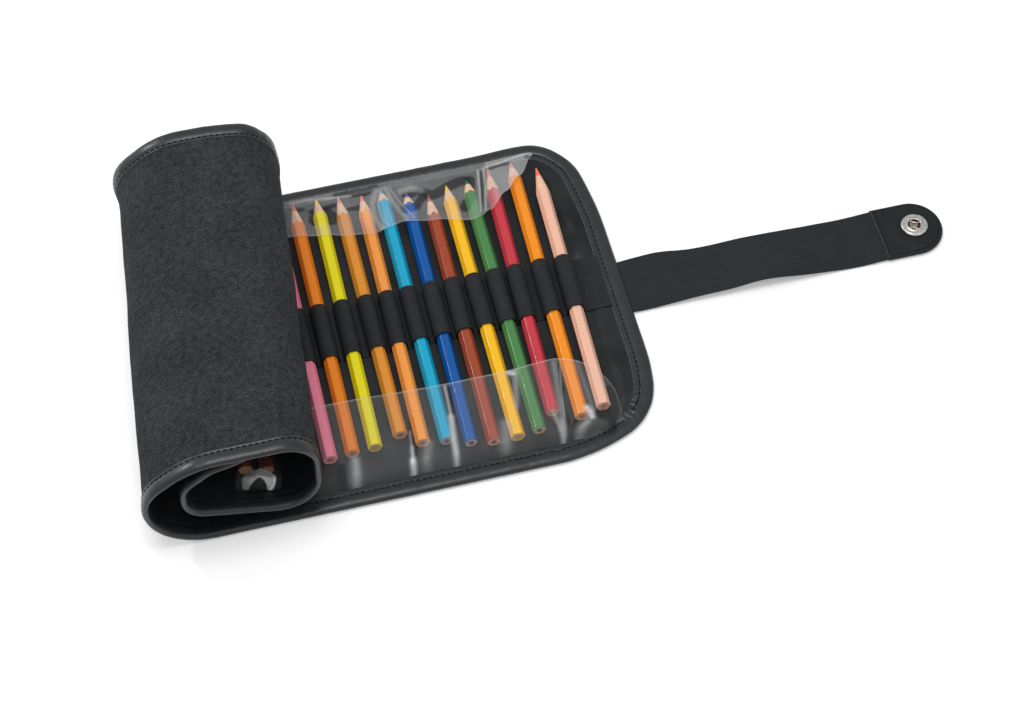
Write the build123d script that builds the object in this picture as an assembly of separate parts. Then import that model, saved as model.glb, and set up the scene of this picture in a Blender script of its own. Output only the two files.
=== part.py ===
from build123d import *
import math
import os

# Roll-up pencil case, half unrolled on a table, with its coloured pencils.
#
# Millimetres. The origin is the middle of the footprint on the table: +X runs towards the strap,
# +Y towards the pencil tips, +Z up. The case is one long padded sheet. Its left half is rolled up,
# and its right half lies flat. The flat half is cut here into six panels, two pencils wide, at the
# lines where it bends when the case is rolled up.

# Case sheet
CASE_DEPTH = 214.0
HALF_DEPTH = CASE_DEPTH / 2
RIGHT_EDGE = 50.0
CANVAS_THICK = 1.0
LINING_THICK = 1.0
BINDING_THICK = 1.0
BINDING_WIDTH = 9.5
LOWER_CORNER = (50.0, 48.0)
UPPER_CORNER = (36.0, 46.0)
CANVAS_Z = BINDING_THICK
LINING_Z = CANVAS_Z + CANVAS_THICK
PANEL_TOP = LINING_Z + LINING_THICK
BINDING_TOP = PANEL_TOP + BINDING_THICK
EDGE_ROUND = 0.9

# Lines where the flat half bends, each midway between two pencils
FOLD_LINES = (-124.0, -98.35, -73.85, -49.05, -25.0, -0.55)

# Rolled half: the canvas's outer surface in the front end plane, as corners (x, z) with bend radii
ROLL_SKEW = 20.5
ROLL_START = (-100.0, 1.0)
ROLL_CORNERS = (
    (-232.0, 1.0, 34.0),
    (-232.0, 47.0, 24.0),
    (-206.0, 68.0, 40.0),
    (-141.0, 68.0, 20.0),
    (-141.0, 8.1, 20.0),
    (-213.0, 25.7, 15.0),
    (-213.0, 49.0, 15.0),
    (-195.0, 63.4, 20.0),
)
ROLL_END = (-166.0, 63.4)
FLAT_RUN_HEIGHT = 6.0

# Pencils
PENCIL_FLATS = 7.0
PENCIL_CORNER_ROUND = 0.7
LEAD_RADIUS = 1.6
POINT_RADIUS = 0.35
PENCIL_LIFT = 0.3
PENCIL_AXIS_Z = PANEL_TOP + PENCIL_LIFT + PENCIL_FLATS / 2
# Name, x at the elastic, lean of the axis, tip y, butt y, length of the sharpened cone
PENCILS = (
    ("pencil_00_pink", -130.0, 0.020, 94.0, -78.0, 12.0),
    ("pencil_01_orange", -117.9, 0.018, 94.9, -77.1, 14.0),
    ("pencil_02_yellow", -105.1, 0.024, 94.9, -76.3, 11.0),
    ("pencil_03_ochre", -91.6, 0.012, 94.1, -71.8, 14.0),
    ("pencil_04_apricot", -79.9, 0.024, 91.4, -79.6, 12.0),
    ("pencil_05_teal", -67.8, 0.017, 92.3, -81.5, 8.5),
    ("pencil_06_blue", -55.0, 0.024, 86.7, -85.9, 8.5),
    ("pencil_07_brown", -43.1, 0.024, 82.9, -88.4, 15.0),
    ("pencil_08_gold", -31.0, 0.013, 86.6, -88.4, 11.0),
    ("pencil_09_green", -19.0, 0.013, 87.8, -87.0, 10.0),
    ("pencil_10_red", -7.7, 0.036, 91.9, -77.9, 15.0),
    ("pencil_11_orange", 6.6, 0.029, 93.6, -84.0, 11.0),
    ("pencil_12_peach", 19.6, 0.034, 86.4, -80.6, 16.0),
)
PENCILS_PER_PANEL = 2

# Pencils out of sight in the roll: three on the flat run, two on the inner turn
HIDDEN_X = (-142.3, -154.6, -166.9)
HIDDEN_TIP, HIDDEN_BUTT, HIDDEN_CONE = 90.0, -82.0, 13.0
HIDDEN_FILM_STARTS = (-188.0, -171.0)
INNER_X = (-180.5, -169.3)
INNER_LIFT = 0.12
INNER_FILM_SHIFT = 1.5
INNER_MOUTH_Y = -54.0
INNER_TIP, INNER_BUTT = 89.0, -85.0

# Elastic band with its loops
ELASTIC_THICK = 0.7
ELASTIC_Y = (-15.0, 20.0)
ELASTIC_MIDDLE = (ELASTIC_Y[0] + ELASTIC_Y[1]) / 2
LOOP_RADIUS = 4.15
LOOP_FOOT = 1.5

# Clear strips over the butts and the tips
FILM_THICK = 0.4
FILM_UNDERSIDE = PENCIL_AXIS_Z + PENCIL_FLATS / 2 + 0.5
FILM_SEAM_Y = HALF_DEPTH - BINDING_WIDTH - 0.1
FILM_RISE = 1.8
FILM_FOLD_ROOM = 2.4
POCKET_MOUTH_Y = -46.0
FLAP_MOUTH_Y = 64.0
POCKET_END_X = 25.0
POCKET_END_RADIUS = 30.0
FLAP_END_X = (-15.0, 21.0)

# Strap with its tab and press snap
STRAP_Y = -3.5
STRAP_WIDTH = 35.3
STRAP_THICK = 1.2
STRAP_START = RIGHT_EDGE + 0.4
STRAP_FOLD_X = 145.0
STRAP_END = 212.0
# Middle of the strap above the table, as (x, z) with bend radii
STRAP_INNER_ROUTE = ((64.0, 3.9, 60.0), (80.0, 4.3, 60.0), (98.0, 2.4, 70.0))
STRAP_ROOT_Z, STRAP_FOLD_Z, STRAP_TAB_Z = 2.0, 2.7, 2.7
STRAP_OUTER_ROUTE = ((160.0, 1.7, 70.0), (180.0, 1.9, 70.0), (194.0, 2.7, 60.0))
TAB_START, TAB_END = 196.5, 233.0
TAB_WIDTH = 36.2
TAB_SKIN = 0.8
TAB_ROUND_LENGTH = 17.0
TAB_Z = (STRAP_TAB_Z - STRAP_THICK / 2 - TAB_SKIN, STRAP_TAB_Z + STRAP_THICK / 2 + TAB_SKIN)
SNAP_X = 217.0
SOCKET_RADIUS, SOCKET_HEIGHT, SOCKET_HOLE = 6.8, 2.2, 3.05
CAP_RADIUS = 7.4
RIVET_RADIUS = 1.9
SPRING_RADIUS, SPRING_OFFSET = 0.35, 2.0

# Stud that the socket presses on, sunk in the third panel's canvas between two pencils
STUD_PANEL = 3
STUD_X = -61.4
STUD_HOLE_RADIUS = 6.0
STUD_FLANGE_RADIUS, STUD_HEAD_RADIUS, STUD_NECK_RADIUS = 5.6, 2.2, 1.6
STUD_RIVET_RADIUS = 0.9
EYELET_RADIUS, EYELET_THICK = 3.5, 0.4


def slab(x_range, y_range, z_range):
    """A block between two values along each axis."""
    size = [pair[1] - pair[0] for pair in (x_range, y_range, z_range)]
    middle = [(pair[1] + pair[0]) / 2 for pair in (x_range, y_range, z_range)]
    return Pos(*middle) * Box(*size)


def outline_face(edges):
    """A flat face inside a closed run of edges."""
    return Face(Wire(edges))


def turned(profile, x, y):
    """A solid turned about the upright line at x, y, from corners (radius, height)."""
    points = [(r, 0, z) for r, z in profile]
    face = outline_face(Polyline(*points, close=True).edges())
    return Pos(x, y, 0) * revolve(face, Axis.Z)


# Sheet of the flat half


def end_outline(inset, z):
    """The last panel seen from above, with its two big rounded corners."""
    left, right = FOLD_LINES[-1], RIGHT_EDGE - inset
    low, high = -HALF_DEPTH + inset, HALF_DEPTH - inset
    lower_x, lower_y = (radius - inset for radius in LOWER_CORNER)
    upper_x, upper_y = (radius - inset for radius in UPPER_CORNER)
    lower_arc = EllipticalCenterArc(
        (right - lower_x, low + lower_y), lower_x, lower_y, start_angle=270, arc_size=90
    )
    upper_arc = EllipticalCenterArc(
        (right - upper_x, high - upper_y), upper_x, upper_y, start_angle=0, arc_size=90
    )
    sides = Curve() + [
        Line((left, low), (right - lower_x, low)),
        lower_arc,
        Line((right, low + lower_y), (right, high - upper_y)),
        upper_arc,
        Line((right - upper_x, high), (left, high)),
        Line((left, high), (left, low)),
    ]
    return Pos(0, 0, z) * outline_face(sides.edges())


def end_plate(inset, z_range):
    """The last panel's outline as a plate."""
    return extrude(end_outline(inset, z_range[0]), z_range[1] - z_range[0], dir=(0, 0, 1))


def end_layer(z, thick):
    """One cloth layer of the last panel."""
    return end_plate(BINDING_THICK, (z, z + thick))


def stud_hole(radius, z_range):
    """A round hole about the stud's axis."""
    middle = (z_range[0] + z_range[1]) / 2
    return Pos(STUD_X, STRAP_Y, middle) * Cylinder(radius, z_range[1] - z_range[0])


def straight_layer(x_range, z, thick):
    """One cloth layer of a straight panel."""
    reach = HALF_DEPTH - BINDING_THICK
    return slab(x_range, (-reach, reach), (z, z + thick))


def straight_binding(x_range, side):
    """The folded strip along one long edge: a channel that grips the sheet's edge."""
    y_outer, y_inner = HALF_DEPTH, HALF_DEPTH - BINDING_WIDTH
    channel = slab(x_range, (y_inner, y_outer), (0, BINDING_TOP))
    rim = channel.edges().filter_by(Axis.X).group_by(Axis.Y)[-1]
    channel = fillet(rim, EDGE_ROUND)
    channel -= slab(x_range, (y_inner - 1, y_outer - BINDING_THICK), (CANVAS_Z, PANEL_TOP))
    return channel if side > 0 else mirror(channel, Plane.XZ)


def end_binding():
    """The binding round the last panel's three edges."""
    rim = end_plate(0, (0, BINDING_TOP))
    flats = rim.edges().filter_by(lambda edge: abs(edge.tangent_at(0.5).Z) < 0.5)
    outer = flats.filter_by(lambda edge: edge.center().X > FOLD_LINES[-1] + 0.1)
    rim = fillet(outer, EDGE_ROUND)
    rim -= end_plate(BINDING_WIDTH, (-1, BINDING_TOP + 1))
    return rim - end_plate(BINDING_THICK, (CANVAS_Z, PANEL_TOP))


# Elastic band


def loop_profile(x):
    """One loop seen from its end: an arch over the pencil and two flat feet."""
    outer = LOOP_RADIUS + ELASTIC_THICK
    low, foot_top = PANEL_TOP, PANEL_TOP + ELASTIC_THICK
    foot = outer + LOOP_FOOT
    y = ELASTIC_Y[0]

    def at(dx, z):
        return (x + dx, y, z)

    top = PENCIL_AXIS_Z
    run = [
        Line(at(-foot, low), at(-LOOP_RADIUS, low)),
        Line(at(-LOOP_RADIUS, low), at(-LOOP_RADIUS, top)),
        ThreePointArc(at(-LOOP_RADIUS, top), at(0, top + LOOP_RADIUS), at(LOOP_RADIUS, top)),
        Line(at(LOOP_RADIUS, top), at(LOOP_RADIUS, low)),
        Line(at(LOOP_RADIUS, low), at(foot, low)),
        Line(at(foot, low), at(foot, foot_top)),
        Line(at(foot, foot_top), at(outer, foot_top)),
        Line(at(outer, foot_top), at(outer, top)),
        ThreePointArc(at(outer, top), at(0, top + outer), at(-outer, top)),
        Line(at(-outer, top), at(-outer, foot_top)),
        Line(at(-outer, foot_top), at(-foot, foot_top)),
        Line(at(-foot, foot_top), at(-foot, low)),
    ]
    return outline_face(run)


def pencil_loop(x, lean):
    """A loop round one pencil, leaning with it."""
    length = ELASTIC_Y[1] - ELASTIC_Y[0]
    start = x - lean * length / 2
    return Part() + Solid.extrude(loop_profile(start), Vector(lean * length, length, 0))


def elastic_band(loops, x_range):
    """Neighbouring loops joined at their feet, kept inside one panel."""
    band = pencil_loop(*loops[0])
    for x, lean in loops[1:]:
        band += pencil_loop(x, lean)
        previous = loops[loops.index((x, lean)) - 1][0]
        reach = LOOP_RADIUS + ELASTIC_THICK
        gap = (previous + reach + 0.6, x - reach - 0.6)
        band += slab(gap, ELASTIC_Y, (PANEL_TOP, PANEL_TOP + ELASTIC_THICK))
    return band & slab(x_range, (-HALF_DEPTH, HALF_DEPTH), (0, 30))


def band_end():
    """The band's plain end, flat on the lining up to the binding."""
    start = PENCILS[-1][1] + LOOP_RADIUS + ELASTIC_THICK
    stop = RIGHT_EDGE - BINDING_WIDTH - 0.1
    return slab((start, stop), ELASTIC_Y, (PANEL_TOP, PANEL_TOP + ELASTIC_THICK))


# Clear strips


def film_profile(x, mouth_y):
    """A clear strip seen from its end: it rises from the seam and lies over the pencils."""
    side = 1 if mouth_y > 0 else -1
    seam, top = side * FILM_SEAM_Y, FILM_UNDERSIDE
    shoulder = seam - side * FILM_RISE
    run = [
        (seam, PANEL_TOP),
        (seam, PANEL_TOP + 0.3),
        (shoulder, top + FILM_THICK),
        (mouth_y, top + FILM_THICK),
        (mouth_y, top),
        (shoulder - side * 0.3, top),
        (seam - side * 0.45, PANEL_TOP),
    ]
    points = [(x, y, z) for y, z in run]
    return outline_face(Polyline(*points, close=True).edges())


def film(x_range, mouth_y):
    """A clear strip between two places along the case."""
    face = film_profile(x_range[0], mouth_y)
    return Part() + Solid.extrude(face, Vector(x_range[1] - x_range[0], 0, 0))


def pocket_end():
    """The last panel's butt pocket, with its free corner cut round."""
    strip = film((FOLD_LINES[-1] + FILM_FOLD_ROOM, POCKET_END_X), POCKET_MOUTH_Y)
    x, y, r = POCKET_END_X, POCKET_MOUTH_Y, POCKET_END_RADIUS
    corner = slab((x - r, x + 1), (y - r, y + 1), (0, 30))
    return strip - (corner - Pos(x - r, y - r, 15) * Cylinder(r, 40))


def flap_end():
    """The last panel's tip flap, cut slanting to its free end."""
    left = FOLD_LINES[-1] + FILM_FOLD_ROOM
    strip = film((left, FLAP_END_X[1]), FLAP_MOUTH_Y)
    near, far = FLAP_END_X
    cut = Polyline(
        (near, FLAP_MOUTH_Y - 1, 0),
        (far, FILM_SEAM_Y - FILM_RISE - 2, 0),
        (far, FILM_SEAM_Y + 5, 0),
        (far + 9, FILM_SEAM_Y + 5, 0),
        (far + 9, FLAP_MOUTH_Y - 1, 0),
        close=True,
    )
    return strip - extrude(outline_face(cut.edges()), 30, dir=(0, 0, 1))


# Pencils


def pencil(x, lean, tip, butt, cone):
    """A sharpened hexagonal pencil: painted wood casing round a coloured lead."""
    length = tip - butt
    hexagon = RegularPolygon(PENCIL_FLATS / 2, 6, major_radius=False)
    hexagon = fillet(hexagon.vertices(), PENCIL_CORNER_ROUND)
    bar = extrude(hexagon, length)
    slope = (PENCIL_FLATS / 2 - POINT_RADIUS) / cone
    shoulder_radius = PENCIL_FLATS / 2 + 0.7
    shoulder = length - (shoulder_radius - POINT_RADIUS) / slope
    profile = ((0, 0), (shoulder_radius, 0), (shoulder_radius, shoulder), (POINT_RADIUS, length), (0, length))
    sharpened = bar & turned(profile, 0, 0)
    core = Pos(0, 0, length / 2) * Cylinder(LEAD_RADIUS, length + 2)
    pieces = [sharpened - core, sharpened & core]
    place = (
        Pos(x, ELASTIC_MIDDLE, PENCIL_AXIS_Z)
        * Rot(0, 0, -math.degrees(math.atan(lean)))
        * Pos(0, butt - ELASTIC_MIDDLE, 0)
        * Rot(-90, 0, 0)
    )
    return Compound([solid for piece in pieces for solid in (place * piece).solids()])


# Rolled half


def roll_path(inwards, y):
    """The rolled sheet's line at a distance inwards of the canvas's outer surface, at y."""
    corners = [ROLL_START] + [(x, z) for x, z, _ in ROLL_CORNERS] + [ROLL_END]
    shift = ROLL_SKEW * (y + HALF_DEPTH) / CASE_DEPTH
    sides = []
    for (x0, z0), (x1, z1) in zip(corners, corners[1:]):
        length = math.hypot(x1 - x0, z1 - z0)
        nx, nz = (z1 - z0) / length * inwards, -(x1 - x0) / length * inwards
        sides.append((x0 + nx, z0 + nz, x1 - x0, z1 - z0))
    points = [sides[0][:2]]
    for (px, pz, ux, uz), (qx, qz, vx, vz) in zip(sides, sides[1:]):
        t = ((qx - px) * vz - (qz - pz) * vx) / (ux * vz - uz * vx)
        points.append((px + t * ux, pz + t * uz))
    px, pz, ux, uz = sides[-1]
    points.append((px + ux, pz + uz))
    radii = [radius - inwards for _, _, radius in ROLL_CORNERS]
    return FilletPolyline(*[(x + shift, y, z) for x, z in points], radius=radii)


def roll_layer(depth_range, y_range):
    """A layer of the rolled sheet between two distances inwards, over part of the case's depth."""
    start = y_range[0]
    first, second = (roll_path(depth, start) for depth in depth_range)
    ends = [Line(first @ 0, second @ 0), Line(first @ 1, second @ 1)]
    face = outline_face(first.edges() + second.edges() + ends)
    reach = y_range[1] - y_range[0]
    layer = Part() + Solid.extrude(face, Vector(ROLL_SKEW * reach / CASE_DEPTH, reach, 0))
    beyond = (FOLD_LINES[0], ROLL_START[0] + ROLL_SKEW + 5)
    return layer - slab(beyond, (-HALF_DEPTH - 5, HALF_DEPTH + 5), (-5, FLAT_RUN_HEIGHT))


def roll_cloth(depth_range):
    """One cloth layer of the rolled half, with the flat run that joins it to the panels."""
    reach = HALF_DEPTH - BINDING_THICK
    return roll_layer(depth_range, (-reach, reach))


def roll_binding(side):
    """The binding along one end of the roll, following every turn of the sheet."""
    edge, inner, slot = HALF_DEPTH, HALF_DEPTH - BINDING_WIDTH, HALF_DEPTH - BINDING_THICK
    whole = (inner, edge) if side > 0 else (-edge, -inner)
    hollow = (inner, slot) if side > 0 else (-slot, -inner)
    cloth = CANVAS_THICK + LINING_THICK
    strip = roll_layer((-BINDING_THICK, cloth + BINDING_THICK), whole)
    return strip - roll_layer((0, cloth), hollow)


def inner_turn_place():
    """Carries what is drawn on the flat sheet at x = 0 to the inner turn's lower run."""
    (x0, z0, _), (x1, z1, _) = ROLL_CORNERS[4], ROLL_CORNERS[5]
    tilt = math.degrees(math.atan2(z1 - z0, x0 - x1))
    middle_x = sum(INNER_X) / 2
    middle_z = z0 + (z1 - z0) * (middle_x - x0) / (x1 - x0)
    skew = ROLL_SKEW * (ELASTIC_MIDDLE + HALF_DEPTH) / CASE_DEPTH
    return (
        Pos(middle_x + skew, ELASTIC_MIDDLE, middle_z)
        * Rot(0, 0, -math.degrees(math.atan(ROLL_SKEW / CASE_DEPTH)))
        * Rot(0, tilt, 0)
        * Pos(0, -ELASTIC_MIDDLE, INNER_LIFT - CANVAS_Z)
    )


def inner_offsets():
    """Where the inner pencils lie either side of their middle."""
    middle = sum(INNER_X) / 2
    return [x - middle for x in INNER_X]


def hidden_pencils():
    """The pencils that the roll covers."""
    flat = [pencil(x, 0, HIDDEN_TIP, HIDDEN_BUTT, HIDDEN_CONE) for x in HIDDEN_X]
    inner = [pencil(dx, 0, INNER_TIP, INNER_BUTT, HIDDEN_CONE) for dx in inner_offsets()]
    inner = [inner_turn_place() * item for item in inner]
    return Compound([solid for item in flat + inner for solid in item.solids()])


def roll_elastic():
    """The band's loops in the rolled half: four on the flat run, two on the inner turn."""
    loops = [(x, 0.0) for x in reversed(HIDDEN_X)] + [PENCILS[0][1:3]]
    flat = elastic_band(loops, (-200, FOLD_LINES[0]))
    offsets = inner_offsets()
    right_end = offsets[-1] + LOOP_RADIUS + ELASTIC_THICK
    inner = elastic_band([(dx, 0.0) for dx in offsets], (-40, right_end))
    inner = inner_turn_place() * inner
    return Compound(flat.solids() + inner.solids())


def roll_films():
    """The clear strips in the rolled half."""
    stop = FOLD_LINES[0] - FILM_FOLD_ROOM
    pocket = film((HIDDEN_FILM_STARTS[0], stop), POCKET_MOUTH_Y)
    flap = film((HIDDEN_FILM_STARTS[1], stop), FLAP_MOUTH_Y)
    inner = Pos(0, INNER_FILM_SHIFT, 0) * film((-12, 9), INNER_MOUTH_Y)
    strips = [pocket, flap, inner_turn_place() * inner]
    return Compound([solid for strip in strips for solid in strip.solids()])


# Strap and press snap


def strap_piece(route, start, stop):
    """A length of strap that follows its gentle wave above the table."""
    y = STRAP_Y - STRAP_WIDTH / 2
    half = STRAP_THICK / 2
    corners = [start] + [(x, z) for x, z, _ in route] + [stop]
    radii = [radius for _, _, radius in route]
    top = FilletPolyline(*[(x, y, z + half) for x, z in corners], radius=radii)
    under = FilletPolyline(*[(x, y, z - half) for x, z in corners], radius=radii)
    ends = [Line(top @ 0, under @ 0), Line(top @ 1, under @ 1)]
    face = outline_face(top.edges() + under.edges() + ends)
    return Part() + Solid.extrude(face, Vector(0, STRAP_WIDTH, 0))


def snap_barrel_hole():
    """The hole that the cap's rivet passes through."""
    return Pos(SNAP_X, STRAP_Y, 0) * Cylinder(RIVET_RADIUS, 40)


def strap_tab():
    """The tab folded round the strap's end and sewn to it."""
    middle = TAB_END - TAB_ROUND_LENGTH
    half = TAB_WIDTH / 2
    low, high = STRAP_Y - half, STRAP_Y + half
    end = EllipticalCenterArc(
        (middle, STRAP_Y), TAB_ROUND_LENGTH, half, start_angle=-90, arc_size=180
    )
    sides = Curve() + [
        Line((TAB_START, low), (middle, low)),
        end,
        Line((middle, high), (TAB_START, high)),
        Line((TAB_START, high), (TAB_START, low)),
    ]
    face = Pos(0, 0, TAB_Z[0]) * outline_face(sides.edges())
    tab = extrude(face, TAB_Z[1] - TAB_Z[0], dir=(0, 0, 1))
    tab = fillet(tab.faces().group_by(Axis.Z)[-1].edges(), 0.5)
    y_slot = (STRAP_Y - STRAP_WIDTH / 2, STRAP_Y + STRAP_WIDTH / 2)
    z_slot = (STRAP_TAB_Z - STRAP_THICK / 2, STRAP_TAB_Z + STRAP_THICK / 2)
    slot = slab((TAB_START - 1, STRAP_END), y_slot, z_slot)
    return tab - slot - snap_barrel_hole()


def socket_spring():
    """The two spring wires that grip the stud's head inside the socket."""
    z = TAB_Z[1] + SOCKET_HEIGHT - 0.8
    wire = Rot(0, 90, 0) * Cylinder(SPRING_RADIUS, 7.6)
    places = [Pos(SNAP_X, STRAP_Y + side * SPRING_OFFSET, z) for side in (-1, 1)]
    return Compound([solid for place in places for solid in (place * wire).solids()])


def snap_socket():
    """The socket ring with the hole that the stud's head enters."""
    base = TAB_Z[1]
    top = base + SOCKET_HEIGHT
    floor = base + 0.3
    profile = (
        (RIVET_RADIUS, base),
        (SOCKET_RADIUS, base),
        (SOCKET_RADIUS, base + 0.8),
        (SOCKET_RADIUS - 0.5, top - 0.5),
        (SOCKET_RADIUS - 1.3, top),
        (SOCKET_HOLE + 0.6, top),
        (SOCKET_HOLE, top - 0.4),
        (SOCKET_HOLE, floor),
        (RIVET_RADIUS, floor),
    )
    return turned(profile, SNAP_X, STRAP_Y) - socket_spring()


def snap_cap():
    """The domed cap under the tab, with the rivet that holds the socket."""
    under, base = TAB_Z[0], TAB_Z[1]
    profile = (
        (0, 0),
        (CAP_RADIUS - 2.6, 0.1),
        (CAP_RADIUS - 0.6, 0.6),
        (CAP_RADIUS, under - 0.2),
        (CAP_RADIUS, under),
        (RIVET_RADIUS, under),
        (RIVET_RADIUS, base + 0.3),
        (RIVET_RADIUS + 0.6, base + 0.3),
        (RIVET_RADIUS + 0.3, base + 0.6),
        (0, base + 0.6),
    )
    return turned(profile, SNAP_X, STRAP_Y)


def snap_stud():
    """The stud under the case: its flange sits against the lining, its head looks down."""
    profile = (
        (0, 0.1),
        (STUD_HEAD_RADIUS - 0.4, 0.1),
        (STUD_HEAD_RADIUS, 0.4),
        (STUD_HEAD_RADIUS, 0.7),
        (STUD_NECK_RADIUS, 1.0),
        (STUD_NECK_RADIUS, 1.4),
        (STUD_FLANGE_RADIUS - 0.4, LINING_Z - 0.4),
        (STUD_FLANGE_RADIUS, LINING_Z - 0.2),
        (STUD_FLANGE_RADIUS, LINING_Z),
        (STUD_RIVET_RADIUS, LINING_Z),
        (STUD_RIVET_RADIUS, PANEL_TOP),
        (0, PANEL_TOP),
    )
    return turned(profile, STUD_X, STRAP_Y)


def stud_eyelet():
    """The washer that holds the stud's rivet, let into the lining."""
    profile = (
        (STUD_RIVET_RADIUS, PANEL_TOP - EYELET_THICK),
        (EYELET_RADIUS, PANEL_TOP - EYELET_THICK),
        (EYELET_RADIUS, PANEL_TOP - EYELET_THICK / 2),
        (EYELET_RADIUS - 0.4, PANEL_TOP),
        (STUD_RIVET_RADIUS, PANEL_TOP),
    )
    return turned(profile, STUD_X, STRAP_Y)


# The whole case


def panel_range(number):
    """Where panel 1 to 6 starts and stops along X."""
    stops = FOLD_LINES + (RIGHT_EDGE,)
    return stops[number - 1], stops[number]


def panel_pencils(number):
    """The pencils that panel 1 to 6 carries."""
    first = 1 + PENCILS_PER_PANEL * (number - 1)
    return PENCILS[first : first + PENCILS_PER_PANEL]


def panel_nodes(number):
    """Every piece of one panel of the flat half, without its pencils."""
    x_range = panel_range(number)
    loops = [(x, lean) for _, x, lean, *_ in panel_pencils(number)]
    last = number == len(FOLD_LINES)
    elastic = elastic_band(loops, x_range)
    if last:
        canvas = end_layer(CANVAS_Z, CANVAS_THICK)
        lining = end_layer(LINING_Z, LINING_THICK)
        binding = end_binding()
        elastic += band_end()
        sewn = end_plate(BINDING_WIDTH + 0.1, (0, 30))
        films = [pocket_end() & sewn, flap_end() & sewn]
    else:
        canvas = straight_layer(x_range, CANVAS_Z, CANVAS_THICK)
        lining = straight_layer(x_range, LINING_Z, LINING_THICK)
        edges = [straight_binding(x_range, side) for side in (-1, 1)]
        binding = Compound([solid for edge in edges for solid in edge.solids()])
        reach = (x_range[0] + FILM_FOLD_ROOM, x_range[1] - FILM_FOLD_ROOM)
        films = [film(reach, POCKET_MOUTH_Y), film(reach, FLAP_MOUTH_Y)]
    if number == STUD_PANEL:
        canvas -= stud_hole(STUD_HOLE_RADIUS, (CANVAS_Z - 1, LINING_Z))
        lining -= stud_hole(STUD_RIVET_RADIUS, (LINING_Z - 1, PANEL_TOP + 1))
        lining -= stud_hole(EYELET_RADIUS, (PANEL_TOP - EYELET_THICK, PANEL_TOP + 1))
    return {
        f"panel_{number}_canvas": canvas,
        f"panel_{number}_lining": lining,
        f"panel_{number}_binding": binding,
        f"panel_{number}_elastic": elastic,
        f"panel_{number}_clear_strips": Compound([s for strip in films for s in strip.solids()]),
    }


def all_nodes():
    """Every sub-part, by the name of its node."""
    nodes = {
        "roll_canvas": roll_cloth((0, CANVAS_THICK)),
        "roll_lining": roll_cloth((CANVAS_THICK, CANVAS_THICK + LINING_THICK)),
        "roll_front_binding": roll_binding(-1),
        "roll_rear_binding": roll_binding(1),
        "roll_elastic": roll_elastic(),
        "roll_clear_strips": roll_films(),
        "rolled_pencils": hidden_pencils(),
    }
    for number in range(1, len(FOLD_LINES) + 1):
        nodes |= panel_nodes(number)
    for name, *values in PENCILS:
        nodes[name] = pencil(*values)
    root, fold = (STRAP_START, STRAP_ROOT_Z), (STRAP_FOLD_X, STRAP_FOLD_Z)
    nodes["strap_inner"] = strap_piece(STRAP_INNER_ROUTE, root, fold)
    outer = strap_piece(STRAP_OUTER_ROUTE, fold, (STRAP_END, STRAP_TAB_Z))
    nodes["strap_outer"] = outer
    nodes["strap_tab"] = strap_tab()
    nodes["snap_socket"] = snap_socket()
    nodes["socket_spring"] = socket_spring()
    nodes["snap_cap"] = snap_cap()
    nodes["snap_stud"] = snap_stud()
    nodes["stud_eyelet"] = stud_eyelet()
    return nodes


def main():
    os.makedirs("parts", exist_ok=True)
    for name, shape in all_nodes().items():
        export_step(shape, f"parts/{name}.step")


if __name__ == "__main__":
    main()
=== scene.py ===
# %% [markdown]
# # A roll-up pencil case, half unrolled
# The case is one long padded sheet of canvas with a smooth lining. Its left half is rolled up and
# its right half lies open, with pencils under an elastic band and clear strips. This file dresses
# them: cloth, vinyl, elastic, webbing and metal, made over the solids and in the same place.

# %% Load the measured model
import bpy
import bmesh
import math
from mathutils import Matrix, Vector, noise


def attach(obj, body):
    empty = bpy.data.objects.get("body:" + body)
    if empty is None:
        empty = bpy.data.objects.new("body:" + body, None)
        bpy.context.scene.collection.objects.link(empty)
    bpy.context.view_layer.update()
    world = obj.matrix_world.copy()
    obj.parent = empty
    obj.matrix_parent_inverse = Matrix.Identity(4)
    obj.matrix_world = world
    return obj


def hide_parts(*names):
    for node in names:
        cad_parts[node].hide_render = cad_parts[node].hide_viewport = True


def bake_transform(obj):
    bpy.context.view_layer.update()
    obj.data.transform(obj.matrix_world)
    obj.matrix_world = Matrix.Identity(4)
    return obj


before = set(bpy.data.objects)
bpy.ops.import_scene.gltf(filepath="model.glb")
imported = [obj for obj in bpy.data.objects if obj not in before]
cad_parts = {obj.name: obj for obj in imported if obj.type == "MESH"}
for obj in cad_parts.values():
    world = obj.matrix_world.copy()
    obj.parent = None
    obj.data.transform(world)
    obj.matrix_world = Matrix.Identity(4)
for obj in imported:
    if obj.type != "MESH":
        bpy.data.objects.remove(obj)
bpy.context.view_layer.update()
MM = 0.001

# %% [markdown]
# ## Camera
# The camera stands in front of the case, a little to its left, and looks down at about 55
# degrees from 1.6 m away. A long lens keeps the sheet's far edge nearly as wide as its near one.
# Its place and turn come from fitting the pencils and the case's edge to the picture.

# %% Camera
AZIMUTH, ELEVATION, TILT = (math.radians(angle) for angle in (-13.584, 54.675, -0.682))
TARGET = Vector((-22.02, -34.45, 0.0)) * MM
DISTANCE = 1572.65 * MM
SENSOR_WIDTH, PICTURE_WIDTH, FOCAL_PIXELS = 36.0, 1024, 2900.05


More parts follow.
